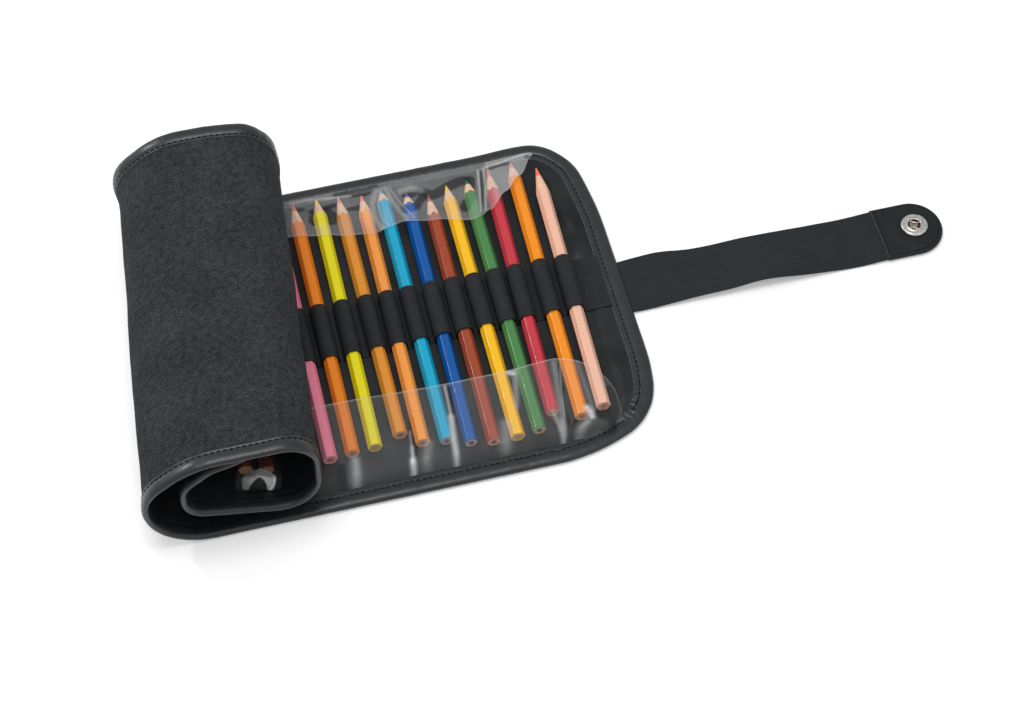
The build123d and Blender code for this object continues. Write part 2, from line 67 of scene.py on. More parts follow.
def aim_camera():
    """Places the camera and turns it towards the target."""
    level = math.cos(ELEVATION)
    back = (math.sin(AZIMUTH) * level, -math.cos(AZIMUTH) * level, math.sin(ELEVATION))
    back = Vector(back)
    right = Vector((math.cos(AZIMUTH), math.sin(AZIMUTH), 0.0))
    turn = Matrix((right, back.cross(right), back)).transposed()
    turn = turn @ Matrix.Rotation(TILT, 3, "Z")
    camera = bpy.data.objects.new("camera", bpy.data.cameras.new("camera"))
    camera.data.sensor_width = SENSOR_WIDTH
    camera.data.lens = FOCAL_PIXELS * SENSOR_WIDTH / PICTURE_WIDTH
    camera.data.clip_start, camera.data.clip_end = 0.05, 20.0
    camera.matrix_world = Matrix.Translation(TARGET + back * DISTANCE) @ turn.to_4x4()
    bpy.context.scene.collection.objects.link(camera)
    bpy.context.scene.camera = camera
    return camera


camera = aim_camera()
print("camera at", [round(value, 3) for value in camera.matrix_world.translation])

# %% [markdown]
# ## Shader maths as plain expressions
# A finish is easier to read as a formula than as a chain of boxes. A Wire is one socket, and
# adding or multiplying wires adds the Math nodes that do it. Every other node comes from node().

# %% Shader helper


class Wire:
    """One output socket, with Python's operators."""

    def __init__(self, finish, socket):
        self.finish, self.socket = finish, socket

    def math(self, operation, *values):
        inputs = dict(enumerate((self, *values)))
        return self.finish.node("ShaderNodeMath", {"operation": operation}, inputs)

    def __add__(self, other):
        return self.math("ADD", other)

    def __sub__(self, other):
        return self.math("SUBTRACT", other)

    def __mul__(self, other):
        return self.math("MULTIPLY", other)

    def __truediv__(self, other):
        return self.math("DIVIDE", other)

    def __rsub__(self, other):
        return self.finish.node("ShaderNodeMath", {"operation": "SUBTRACT"}, {0: other, 1: self})

    __radd__ = __add__
    __rmul__ = __mul__

    def step(self, low, high):
        """Goes smoothly from 0 at low to 1 at high."""
        settings = {"interpolation_type": "SMOOTHSTEP"}
        return self.finish.node("ShaderNodeMapRange", settings, {0: self, 1: low, 2: high})

    def mix(self, first, second):
        """The colour between first and second at this amount."""
        inputs = {0: self, 6: first, 7: second}
        return self.finish.node("ShaderNodeMix", {"data_type": "RGBA"}, inputs, 2)

    def ridges(self, pitch_mm, drift=0.0):
        """Rises and falls between 0 and 1 once in every pitch."""
        return (self * (2 * math.pi / (pitch_mm * MM)) + drift).math("SINE") * 0.5 + 0.5


def linear(red, green, blue):
    """A colour as a screen shows it, from 0 to 255, as the light that makes it."""
    values = [value / 255 for value in (red, green, blue)]
    values = [v / 12.92 if v <= 0.04045 else ((v + 0.055) / 1.055) ** 2.4 for v in values]
    return (*values, 1.0)


class Finish:
    """A material with one glossy shader and the nodes that feed it."""

    def __init__(self, name, **constants):
        self.material = bpy.data.materials.new(name)
        self.material.use_nodes = True
        self.tree = self.material.node_tree
        self.shader = self.tree.nodes["Principled BSDF"]
        for key, value in constants.items():
            self.shader.inputs[key.replace("_", " ")].default_value = value

    def node(self, kind, settings=None, inputs=None, out=0):
        made = self.tree.nodes.new(kind)
        for key, value in (settings or {}).items():
            setattr(made, key, value)
        for key, value in (inputs or {}).items():
            if isinstance(value, Wire):
                self.tree.links.new(value.socket, made.inputs[key])
            else:
                made.inputs[key].default_value = value
        return Wire(self, made.outputs[out])

    def place(self, kind="Object"):
        return self.node("ShaderNodeTexCoord", out=kind)

    def split(self, vector):
        node = self.node("ShaderNodeSeparateXYZ", inputs={0: vector}).socket.node
        return [Wire(self, output) for output in node.outputs]

    def noise(self, vector, size_mm, detail=3.0):
        inputs = {"Vector": vector, "Scale": 1 / (size_mm * MM), "Detail": detail}
        return self.node("ShaderNodeTexNoise", inputs=inputs)

    def stretch(self, vector, scale):
        return self.node("ShaderNodeMapping", inputs={"Vector": vector, "Scale": scale})

    def bump(self, height, depth_mm, strength=1.0):
        inputs = {"Height": height, "Distance": depth_mm * MM, "Strength": strength}
        return self.node("ShaderNodeBump", inputs=inputs)

    def feed(self, **sockets):
        for key, wire in sockets.items():
            self.tree.links.new(wire.socket, self.shader.inputs[key.replace("_", " ")])
        return self.material


# %% [markdown]
# ## Cloth finishes
# The canvas is a twill: diagonal cords, a little lighter where dry yarn catches the light. The
# pattern follows the sheet's own UV map, in metres along the sheet, so it turns with the roll.
# The lining is a closely woven black cloth that looks smooth and a little shiny.

# %% Canvas and lining
CORD_PITCH, CORD_ALONG, CORD_ACROSS = 1.1, 0.86, 0.51


def twill_canvas():
    """Charcoal canvas with diagonal cords and light flecks."""
    finish = Finish("charcoal twill canvas", Roughness=0.92, Specular_IOR_Level=0.12)
    uv = finish.place("UV")
    u, v, _ = finish.split(uv)
    drift = finish.noise(uv, 6.0, 2.0) * 1.6
    cord = (u * CORD_ALONG - v * CORD_ACROSS).ridges(CORD_PITCH, drift)
    break_up = finish.noise(finish.stretch(uv, (1.0, 0.8, 1.0)), 0.62, 2.0)
    patch = finish.noise(uv, 3.2, 3.0)
    cloud = finish.noise(uv, 24.0, 3.0)
    weave = cord * 0.22 + break_up * 1.5
    fleck = weave.step(0.5, 1.25) * (patch.step(0.25, 0.7) * 0.6 + 0.4)
    worn = cloud.step(0.35, 0.75)
    tone = fleck * (worn * 0.24 + 0.78) + cloud * 0.08
    colour = tone.mix(linear(15, 16, 17), linear(80, 83, 86))
    return finish.feed(Base_Color=colour, Normal=finish.bump(weave, 0.3, 0.8))


def smooth_lining():
    """Black lining with a fine grain and soft sheen."""
    finish = Finish("smooth black lining", Specular_IOR_Level=0.26)
    uv = finish.place("UV")
    grain = finish.noise(uv, 0.9, 2.0)
    cloud = finish.noise(uv, 30.0, 2.0)
    tone = cloud.step(0.25, 0.75) * 0.7 + grain * 0.3
    colour = tone.mix(linear(10, 11, 12), linear(38, 41, 44))
    rough = cloud * 0.16 + 0.38
    return finish.feed(Base_Color=colour, Roughness=rough, Normal=finish.bump(grain, 0.08, 0.6))


canvas_finish = twill_canvas()
lining_finish = smooth_lining()
print("cloth finishes", canvas_finish.name, lining_finish.name)

# %% [markdown]
# ## Artificial leather, elastic and webbing
# The binding is thin coated cloth. It is nearly black, glossy, and it puckers where the thread
# pulls it in. The elastic and the strap are woven narrow: the elastic's ribs run round the
# pencils, and the strap's ribs run along it. Their colour is painted lighter on each rib's crest
# and darker in its hollow, as painted highlight and shade.

# %% Binding, elastic and strap


def coated_leather(name, dark, light, shine=0.45):
    """Glossy coated cloth with fine grain and soft puckers across its width."""
    finish = Finish(name, Specular_IOR_Level=shine, Coat_Weight=shine / 3, Coat_Roughness=0.26)
    uv = finish.place("UV")
    grain = finish.noise(uv, 0.6, 3.0)
    pucker = finish.noise(finish.stretch(uv, (1.0, 0.4, 1.0)), 4.5, 2.0)
    height = pucker * 0.75 + grain * 0.12
    colour = (grain * 0.4 + pucker * 0.6).mix(dark, light)
    rough = grain * 0.14 + 0.32
    return finish.feed(Base_Color=colour, Roughness=rough, Normal=finish.bump(height, 0.4, 0.55))


KNIT_PITCH = 0.55


def ribbed_band(name, rib_mm, dark, light, depth_mm, roughness):
    """Narrow woven goods with ribs along the piece's own UV map, painted light on the crests and
    shaded in the hollows.
    """
    finish = Finish(name, Roughness=roughness, Specular_IOR_Level=0.18)
    uv = finish.place("UV")
    u, v, _ = finish.split(uv)
    rib_height_and_shade = v.ridges(rib_mm)
    cloud = finish.noise(uv, 9.0, 3.0)
    height = rib_height_and_shade * 0.85 + u.ridges(KNIT_PITCH) * 0.15
    # Painted highlight on the rib crests and painted shade in the hollows, over a random cloud.
    colour = (rib_height_and_shade * 0.7 + cloud * 0.3).mix(dark, light)
    return finish.feed(Base_Color=colour, Normal=finish.bump(height, depth_mm, 0.8))


def sewing_thread():
    """Black thread, a little paler where its twist catches the light."""
    finish = Finish("black sewing thread", Roughness=0.6, Specular_IOR_Level=0.2)
    twist = finish.noise(finish.place(), 0.5, 2.0)
    return finish.feed(Base_Color=twist.mix(linear(3, 3, 4), linear(13, 14, 15)))


binding_finish = coated_leather("black binding leather", linear(15, 16, 18), linear(40, 43, 46))
tab_finish = coated_leather("black tab leather", linear(9, 11, 12), linear(26, 29, 31), 0.26)
elastic_finish = ribbed_band(
    "ribbed black elastic", 1.15, linear(9, 10, 12), linear(54, 57, 61), 0.3, 0.7
)
strap_finish = ribbed_band(
    "ribbed black webbing", 1.45, linear(25, 28, 30), linear(46, 50, 53), 0.16, 0.75
)
thread_finish = sewing_thread()
print("narrow goods", elastic_finish.name, strap_finish.name)

# %% [markdown]
# ## Clear vinyl
# Soft vinyl shows mostly by what it reflects: a faint grey veil, paler patches with sharp edges,
# and bright lines along its creases. These reflections and highlights are painted into the
# sheet's alpha over its white colour, on top of a faint haze of its own. A thin sheet bends no
# light, so alpha does the see-through. The strips carry each spot's haze and painted light as an
# attribute of their points, and the finish only reads it.

# %% Clear vinyl


def clear_vinyl():
    """Thin clear sheet with its haze and its painted highlights and reflections, as its points say.
    """
    finish = Finish("clear soft vinyl", Roughness=0.16, Specular_IOR_Level=0.6)
    finish.shader.inputs["Base Color"].default_value = linear(225, 226, 227)
    # The attribute holds the sheet's haze with painted highlights and painted reflections, read as
    # alpha.
    haze_and_painted_light = finish.node("ShaderNodeAttribute", {"attribute_name": "haze_and_painted_light"}, out="Fac")
    smear = finish.noise(finish.stretch(finish.place(), (1.0, 0.4, 1.0)), 7.0, 3.0)
    fine = finish.noise(finish.place(), 3.5, 2.0)
    alpha = (haze_and_painted_light * (smear * 0.5 + 0.75)).math("MINIMUM", 0.85)
    return finish.feed(Alpha=alpha, Normal=finish.bump(fine, 1.2, 0.5))


vinyl_finish = clear_vinyl()
vinyl_finish.surface_render_method = "BLENDED"
print("vinyl", vinyl_finish.name)

# %% [markdown]
# ## The sheet's run
# The rolled half follows one line: flat on the table, round the left side, over the top, down
# the right side and in for a second turn. The line is kept as corners with bend radii, in the
# front end plane. The roll leans a little, so the line moves right towards the back. A point of
# the sheet is then found from its length along the line, its distance inwards and its depth. At
# the rear end the outer turn has slipped back a few millimetres, and its right corner is slack.

# %% Roll line
HALF_DEPTH = 107.0
ROLL_SKEW = 20.5 / 214.0
ROLL_CORNERS = [(-100, 1), (-232, 1), (-232, 47), (-206, 68), (-141, 68), (-141, 8.1)]
ROLL_CORNERS += [(-213, 25.7), (-213, 49), (-195, 63.4), (-166, 63.4)]
ROLL_RADII = [34, 24, 40, 20, 20, 15, 15, 20]


def rounded_line(corners, radii, step=1.5):
    """Points along straight runs joined by arcs, about a step apart."""
    corners = [Vector(corner) for corner in corners]
    stops = [corners[0]]
    for before, corner, after, radius in zip(corners, corners[1:], corners[2:], radii):
        one, two = (before - corner).normalized(), (after - corner).normalized()
        half = one.angle(two) / 2
        centre = corner + (one + two).normalized() * (radius / math.sin(half))
        start, stop = (corner + side * (radius / math.tan(half)) for side in (one, two))
        sweep = math.pi - 2 * half
        sweep *= 1 if (start - centre).cross(stop - centre) > 0 else -1
        count = max(2, round(radius * abs(sweep) / step))
        for index in range(count + 1):
            arm = start - centre
            arm.rotate(Matrix.Rotation(sweep * index / count, 2))
            stops.append(centre + arm)
    stops.append(corners[-1])
    return stops


class Run:
    """A line that gives its point and its inward side at any length along it."""

    def __init__(self, points):
        self.points = points
        self.lengths = [0.0]
        for first, second in zip(points, points[1:]):
            self.lengths.append(self.lengths[-1] + (second - first).length)
        self.total = self.lengths[-1]

    def at(self, length):
        length = min(max(length, 0.0), self.total)
        low, high = 0, len(self.lengths) - 1
        while high - low > 1:
            middle = (low + high) // 2
            low, high = (middle, high) if self.lengths[middle] <= length else (low, middle)
        share = (length - self.lengths[low]) / max(self.lengths[high] - self.lengths[low], 1e-9)
        return self.points[low].lerp(self.points[high], share)

    def inward(self, length):
        ahead, behind = self.at(length + 0.8), self.at(length - 0.8)
        side = ahead - behind
        return Vector((side.y, -side.x)).normalized()


roll_run = Run(rounded_line(ROLL_CORNERS, ROLL_RADII))
ROLL_START_X = -136.0
REAR_SLIP = [(98, 0.0, 0.0), (120, 3.3, 0.0), (150, 5.6, 0.0), (200, 5.8, 0.0), (222, 5.4, 0.0)]
REAR_SLIP += [(234, 4.3, 0.3), (244, 3.1, 1.2), (255, 1.6, 2.4), (266, 0.4, 1.8), (282, 0.0, 0.0)]
LEFT_SIDE = 155.0
LEFT_SWELL = [(-107, 1.1), (-60, 1.2), (0, 0.3), (50, -0.8), (85, -1.7), (97, -1.2), (107, 0.0)]


def ramp(value, low, high):
    """Goes smoothly from 0 at low to 1 at high."""
    share = min(1.0, max(0.0, (value - low) / (high - low)))
    return share * share * (3 - 2 * share)


def between(table, place, outside=0.0):
    """A table's value at a place, going smoothly from one row to the next."""
    for (start, value), (stop, following) in zip(table, table[1:]):
        if start <= place <= stop:
            return value + (following - value) * ramp(place, start, stop)
    return outside


def slip_at(length):
    """How far the turn has slipped back at the roll's rear end, and how far it has sunk in."""
    for (start, back, sink), (stop, next_back, next_sink) in zip(REAR_SLIP, REAR_SLIP[1:]):
        if start <= length <= stop:
            share = (length - start) / (stop - start)
            return back + share * (next_back - back), sink + share * (next_sink - sink)
    return 0.0, 0.0


def left_swell(length, y):
    """How far the roll's left side stands out at the front and sinks in towards the rear."""
    return between(LEFT_SWELL, y) * math.exp(-(((length - LEFT_SIDE) / 30.0) ** 2))


def roll_point(length, inwards, y):
    """A point of the rolled sheet, in millimetres."""
    point, side = roll_run.at(length), roll_run.inward(length)
    rear = ramp(y, 10.0, HALF_DEPTH)
    back, sink = (amount * rear for amount in slip_at(length))
    inwards += sink - left_swell(length, y)
    shift = ROLL_SKEW * (y + HALF_DEPTH)
    point += side * inwards
    return Vector((point.x + shift, y + back, max(0.0, point.y)))


def roll_length(share, y):
    """The length along the line, from the flat run's start at 0 to the sheet's end at 1."""
    start = ROLL_CORNERS[0][0] + ROLL_SKEW * (y + HALF_DEPTH) - ROLL_START_X
    return start + share * (roll_run.total - start)


def flat_x(length, y):
    """Where a point of the rolled sheet would lie if the case were unrolled."""
    return ROLL_CORNERS[0][0] + ROLL_SKEW * (y + HALF_DEPTH) - length


print("roll line", round(roll_run.total, 1), "mm")

# %% [markdown]
# ## Spans of the open half
# The open half bends at six lines when it is rolled up. A piece can bend at one line only, so
# every cloth piece is cut midway between two bend lines, where the case stays straight. Each
# span crosses one line.

# %% Spans
CUTS = [-136.0, -111.3, -85.5, -61.3, -36.8, -13.2, 50.0]


def bend_span(piece):
    """Bakes a piece's placement into its mesh."""
    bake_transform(piece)
    return piece


print("spans", [round(b - a, 1) for a, b in zip(CUTS, CUTS[1:])])

# %% [markdown]
# ## One way to make every sheet
# Cloth, binding, elastic and vinyl are all a grid that is carried to its place. The grid comes
# from the grid operator. Each of its points has a share along and a share across, and a small
# function says where that point of the real sheet lies and what its own UV is.

# %% Sheet maker


def wave(x, y, size, seed=0.0):
    """A smooth value from about -1 to 1 that varies over size millimetres."""
    return noise.noise(Vector((x / size, y / size, seed)))


def new_piece(name, bm, finishes, smooth=True):
    """Turns a bmesh, in metres, into an object with its finishes."""
    mesh = bpy.data.meshes.new(name)
    bm.to_mesh(mesh)
    bm.free()
    for finish in finishes:
        mesh.materials.append(finish)
    if smooth:
        mesh.shade_smooth()
    piece = bpy.data.objects.new(name, mesh)
    bpy.context.scene.collection.objects.link(piece)
    return piece


def laid_grid(name, counts, place, finishes, closed=False):
    """A grid whose points go to place(share_u, share_v): a point, its UV in mm, maybe its haze with
    painted light.
    """
    bm = bmesh.new()
    layer = bm.loops.layers.uv.new("sheet")
    # This layer carries a strip's haze with its painted highlights and painted reflections.
    haze_and_light_layer = bm.verts.layers.float.new("haze_and_painted_light")
    bmesh.ops.create_grid(bm, x_segments=counts[0], y_segments=counts[1], size=0.5)
    spots = {vert: place(vert.co.x + 0.5, vert.co.y + 0.5) for vert in bm.verts}
    for face in bm.faces:
        for loop in face.loops:
            loop[layer].uv = Vector(spots[loop.vert][1]) * MM
    for vert, spot in spots.items():
        vert.co = Vector(spot[0]) * MM
        vert[haze_and_light_layer] = spot[2] if len(spot) > 2 else 0.0
    if closed:
        bmesh.ops.remove_doubles(bm, verts=bm.verts, dist=0.00001)
        rims = [edge for edge in bm.edges if edge.is_boundary]
        bmesh.ops.holes_fill(bm, edges=rims)
        bmesh.ops.recalc_face_normals(bm, faces=bm.faces)
    piece = new_piece(name, bm, finishes)
    if closed:
        piece.data.set_sharp_from_angle(angle=math.radians(70))
    return piece


def thicken(piece, thickness_mm, back_slot=0, offset=-1.0):
    """Gives a sheet its thickness, with another finish on its back."""
    solid = piece.modifiers.new("thickness", "SOLIDIFY")
    solid.thickness = thickness_mm * MM
    solid.offset = offset
    solid.use_even_offset = True
    solid.material_offset = back_slot
    solid.material_offset_rim = back_slot
    bpy.context.view_layer.objects.active = piece
    with bpy.context.temp_override(object=piece, active_object=piece, selected_objects=[piece]):
        bpy.ops.object.modifier_apply(modifier="thickness")
    piece.data.set_sharp_from_angle(angle=math.radians(60))
    return piece


# %% [markdown]
# ## The rolled half
# The padded sheet isn't perfectly even: it swells and sinks by part of a millimetre between the
# stitched edges. The canvas is the outer face, and the lining the inner one. At mid depth the
# sheet starts 46 mm along the roll's line, where the open half begins.

# %% Rolled sheet
SHEET_THICK = 2.0
SHEET_HALF = HALF_DEPTH - 1.0


def tuck(share_u):
    """How far the sheet's inner end draws in from the roll's ends, in millimetres."""
    return 9.0 * max(0.0, (share_u - 0.93) / 0.07) ** 2


def rolled_sheet_point(share_u, share_v):
    y = (share_v - 0.5) * 2 * (SHEET_HALF - tuck(share_u))
    length = roll_length(share_u, y)
    ease = min(1.0, (1 - abs(y) / SHEET_HALF) * 8) * min(1.0, share_u * 12)
    swell = (0.7 * wave(length, y, 45) + 0.35 * wave(length, y, 17, 4.0)) * ease
    return roll_point(length, -swell * 0.8 + 0.2 * ease, y), (flat_x(length, y), y)


cloths = [canvas_finish, lining_finish]
rolled_sheet = laid_grid("rolled_sheet", (330, 90), rolled_sheet_point, cloths)
thicken(rolled_sheet, SHEET_THICK, 1)
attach(rolled_sheet, "roll")
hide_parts("roll_canvas", "roll_lining")
print("rolled sheet", len(rolled_sheet.data.polygons), "faces")

# %% [markdown]
# ## The binding's section
# The binding is a strip folded over the sheet's edge. Its section is a flat loop: full and round
# at the edge, thin where it lies on the cloth, with a groove where the stitches pull it down. It
# reaches farther over the lining than over the canvas.
# The open end's edge is a smooth line through listed spots, and every piece inside it takes
# its own inset from that one line.

# %% Binding section
SHEET_INSET = 1.0
BINDING_WIDTH = 11.0
SEAM_INSET = 10.8
STITCH_LINE = 7.6
BINDING_ROUND = [(8.0, 1.35), (7.6, 1.18), (7.2, 1.35), (6.5, 1.65), (5.2, 1.9), (3.6, 1.95)]
BINDING_ROUND += [(2.2, 1.8), (1.0, 1.4), (0.2, 0.7)]
LINING_SIDE = [(11.0, 0.8), (10.95, 1.1), (10.6, 1.2), (9.8, 1.22), (8.7, 1.3), *BINDING_ROUND]
CANVAS_SIDE = [(9.3, 0.9), (9.25, 1.3), (9.0, 1.5), (8.5, 1.5), *BINDING_ROUND]
BINDING_LOOP = LINING_SIDE + [(0.0, 0.0)] + [(w, -h) for w, h in reversed(CANVAS_SIDE)]
BINDING_LOOP.append(BINDING_LOOP[0])


def binding_section(share, length, crumple=0.0):
    """A point of the section as width from the edge and height from the sheet's middle."""
    spot = share * (len(BINDING_LOOP) - 1)
    index = min(int(spot), len(BINDING_LOOP) - 2)
    first, second = Vector(BINDING_LOOP[index]), Vector(BINDING_LOOP[index + 1])
    width, height = first.lerp(second, spot - index)
    pull = 0.1 * wave(length, width, 3.2, 2.0) + 0.2 * wave(length, 0.0, 11.0, 5.0)
    if height < 0:
        return width, height - pull * min(1.0, max(0.0, (9.0 - width) / 2))
    gathers = crumple * 1.5 * wave(length, width * 0.4, 2.3, 7.0) * ramp(width, 4.5, 7.5)
    return width, height + pull * min(1.0, max(0.0, (10.6 - width) / 2)) + gathers


EDGE_SPOTS = [(-30, -107), (-13.2, -107), (-5, -106.5), (6.5, -104.5), (16, -101.8), (26.2, -97.8)]
EDGE_SPOTS += [(31.4, -94.9), (37.2, -90), (42.4, -83.3), (44.9, -78.6), (46.7, -73.6), (48, -68.5)]
EDGE_SPOTS += [(49.6, -56), (50, -44), (50, -20), (50, 20), (50, 44), (49.4, 56), (48.2, 68)]
EDGE_SPOTS += [(46.4, 80.4), (44.5, 87), (41, 93.5), (35.5, 100.3), (29.6, 104.9), (23.2, 107.3)]
EDGE_SPOTS += [(16, 108), (6, 107.8), (-5, 107.2), (-13.2, 107), (-30, 107)]


def smooth_line(spots, parts=10):
    """A smooth line through the spots between the first and the last one."""
    spots = [Vector(spot) for spot in spots]
    points = []
    for before, start, stop, after in zip(spots, spots[1:], spots[2:], spots[3:]):
        for step in range(parts):
            share = step / parts
            curve = before * 2 - start * 5 + stop * 4 - after
            twist = start * 3 - before - stop * 3 + after
            bend = (stop - before) * share + curve * share**2 + twist * share**3
            points.append((start * 2 + bend) / 2)
    return points + [spots[-2]]


def inset_edge(inset):
    """The last span's edge, moved inwards, with a point every millimetre."""
    lengths = range(int(last_edge.total) + 2)
    return [last_edge.at(length) - last_edge.inward(length) * inset for length in lengths]


def edge_cross(points, axis, value, side):
    """The farthest place, towards a side, where a line of points has a value of x or y."""
    found = [min(points, key=lambda point: abs(point[axis] - value))[1 - axis]]
    for first, second in zip(points, points[1:]):
        if (first[axis] - value) * (second[axis] - value) < 0:
            share = (value - first[axis]) / (second[axis] - first[axis])
            found.append(first.lerp(second, share)[1 - axis])
    return max(found, key=lambda item: item * side)


def edge_along(x, side):
    """How far along the case's edge a place on its front or rear side is, from the last span."""
    return x - CUTS[5] if side < 0 else last_edge.total + CUTS[5] - x


def roll_binding(side):
    """The binding along one end of the roll."""
    edge = side * HALF_DEPTH

    def place(share_u, share_v):
        along = edge_along(flat_x(roll_length(share_u, edge), edge), side)
        width, height = binding_section(share_v, along)
        y = side * (HALF_DEPTH - width - tuck(share_u))
        return roll_point(roll_length(share_u, y), 1.0 + height, y), (along, width)

    name = "roll_front_edge" if side < 0 else "roll_rear_edge"
    piece = laid_grid(name, (460, len(BINDING_LOOP) - 1), place, [binding_finish], closed=True)
    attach(piece, "roll")
    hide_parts("roll_front_binding" if side < 0 else "roll_rear_binding")
    return piece


last_edge = Run(smooth_line(EDGE_SPOTS))
INSETS = (SHEET_INSET, STITCH_LINE, SEAM_INSET, BINDING_WIDTH)
INSET_EDGES = {inset: inset_edge(inset) for inset in INSETS}
roll_edges = [roll_binding(side) for side in (-1, 1)]
print("roll bindings", [len(piece.data.polygons) for piece in roll_edges])

# %% [markdown]
# ## The open sheet
# The last span ends in two big rounded corners. The sheet is a grid whose rows get shorter
# towards the corners, so its outline stays round. It is puffed up by a fraction of a
# millimetre, more in the margin right of the pencils, where the elastic's end holds it down.

# %% Open sheet
SHEET_TOP, SHEET_MIDDLE = 3.0, 2.0
LAST_HALF = SHEET_HALF - 0.5
ELASTIC_Y = (-15.0, 20.0)
MARGIN_FROM, MARGIN_TO = 25.0, 31.0


def right_limit(y, inset):
    """How far right the sheet reaches at y."""
    return edge_cross(INSET_EDGES[inset], 1, y, 1)


def sheet_puff(x, y, ease):
    """How far the lining stands up at a place: more in the margin right of the pencils."""
    puff = (0.12 + 0.14 * wave(x, y, 20, 8.0)) * ease
    margin = ramp(x, MARGIN_FROM, MARGIN_TO) * ease
    puff += margin * (1.3 + 1.5 * wave(x, y, 15, 1.0) + 0.5 * wave(x, y, 6, 2.0))
    if x > MARGIN_FROM + 1:
        low, high = ELASTIC_Y
        held = ramp(y, low - 2.5, low + 0.5) * (1 - ramp(y, high - 0.5, high + 2.5))
        puff *= 1 - 0.95 * held
    return puff


def open_sheet(number):
    """One span of the open sheet, lining up."""
    left, right = CUTS[number], CUTS[number + 1]
    last = number == 5

    def place(share_u, share_v):
        row = share_v - 0.5
        y = math.sin(row * math.pi) * LAST_HALF if last else row * 2 * SHEET_HALF
        stop = right_limit(y, SHEET_INSET) if last else right
        x = left + share_u * (stop - left)
        ease = min(1.0, max(0.0, (96.0 - abs(y)) / 8))
        if last:
            ease *= min(1.0, max(0.0, (right_limit(y, BINDING_WIDTH) - x) / 6))
        return Vector((x, y, SHEET_TOP + sheet_puff(x, y, ease))), (x, y)

    counts = (46, 120) if last else (24, 90)
    piece = laid_grid(f"open_sheet_{number + 1}", counts, place, [lining_finish, canvas_finish])
    thicken(piece, SHEET_THICK, 1)
    for vert in piece.data.vertices:
        vert.co.z = max(vert.co.z, (SHEET_TOP - SHEET_THICK) * MM)
    bend_span(piece)
    panel = f"panel_{number + 1}"
    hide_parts(f"{panel}_canvas", f"{panel}_lining")
    return piece


open_sheets = [open_sheet(number) for number in range(6)]
print("open sheet spans", len(open_sheets))

# %% [markdown]
# ## The open half's binding
# The same section runs along the front edge, round the lower corner, up the right side, round
# the upper corner and back. Each straight span has a front and a rear length, and the last span
# is one length with both corners. Round the lower corner its inner edge is too long for the turn
# and lies in small gathers.

# %% Open binding
GATHERED, GATHER_REACH = Vector((34.0, -92.5)), 13.0
LAST_BUTT, BUTT_REACH, BUTT_ROOM = Vector((16.5, -91.0)), 4.2, 0.55


def binding_length(name, run, count, first):
    """A length of binding laid along a run of the sheet's edge, its places counted from first.
    It's pressed flat where the last pencil's butt slides over it."""

    def place(share_u, share_v):
        length = share_u * run.total
        corner = math.exp(-(((run.at(length) - GATHERED).length / GATHER_REACH) ** 2))
        width, height = binding_section(share_v, first + length, corner)
        spot = run.at(length) - run.inward(length) * width
        clear = max(0.0, (spot - LAST_BUTT).length - BUTT_REACH)
        height = SHEET_MIDDLE + min(height, BUTT_ROOM + 0.5 * clear)
        return Vector((spot.x, spot.y, max(0.0, height))), (first + length, width)

    return laid_grid(name, (count, len(BINDING_LOOP) - 1), place, [binding_finish], closed=True)


def open_runs(number):
    """The edge runs of one span, front and then rear, each with its name's end."""
    left, right = CUTS[number], CUTS[number + 1]
    if number == 5:
        return [("last", last_edge, edge_along(left, -1))]
    front = Run([Vector((left, -HALF_DEPTH)), Vector((right, -HALF_DEPTH))])
    rear = Run([Vector((right, HALF_DEPTH)), Vector((left, HALF_DEPTH))])
    names = f"front_{number + 1}", f"rear_{number + 1}"
    return [(names[0], front, edge_along(left, -1)), (names[1], rear, edge_along(right, 1))]


def open_binding(number):
    """The binding of one span."""
    pieces = []
    for name, run, first in open_runs(number):
        piece = binding_length(f"edge_{name}", run, max(26, round(run.total)), first)
        bend_span(piece)
        pieces.append(piece)
    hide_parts(f"panel_{number + 1}_binding")
    return pieces


open_edges = [piece for number in range(6) for piece in open_binding(number)]
print("binding lengths", len(open_edges))

# %% [markdown]
# ## Stitches
# Real stitches show as short beads in the binding's groove. Each bead is a tiny low sphere,
# drawn out along the seam. A seam's beads are one piece.

# %% Stitches
STITCH_PITCH, STITCH_LENGTH = 3.3, 2.4
STITCH_WIDE, STITCH_HIGH, STITCH_RISE = 0.42, 0.3, 1.4


def sew(name, spots):
    """Beads at each (point, along, up), in millimetres."""
    bm = bmesh.new()
    for point, along, up in spots:
        along, up = along.normalized(), up.normalized()
        frame_of = Matrix((along, up.cross(along), up)).transposed().to_4x4()
        halves = STITCH_LENGTH / 2 * MM, STITCH_WIDE * MM, STITCH_HIGH * MM
        place = Matrix.Translation(point * MM) @ frame_of @ Matrix.Diagonal((*halves, 1.0))
        bmesh.ops.create_uvsphere(bm, u_segments=6, v_segments=4, radius=1.0, matrix=place)
    return new_piece(name, bm, [thread_finish])


def roll_seam(side):
    """Both faces of the seam along one end of the roll."""
    y = side * (HALF_DEPTH - STITCH_LINE)
    spots = []
    length = roll_length(0.0, y) + 1
    while length < roll_run.total - 1.5:
        for inwards, turn in ((-0.42, -1.0), (2.42, 1.0)):
            side_of = roll_run.inward(length)
            ahead = roll_run.at(length + 0.5) - roll_run.at(length - 0.5)
            up = Vector((side_of.x, 0.0, side_of.y)) * turn
            spots.append((roll_point(length, inwards, y), Vector((ahead.x, 0.0, ahead.y)), up))
        length += STITCH_PITCH
    piece = sew("seam_roll_front" if side < 0 else "seam_roll_rear", spots)
    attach(piece, "roll")
    return piece


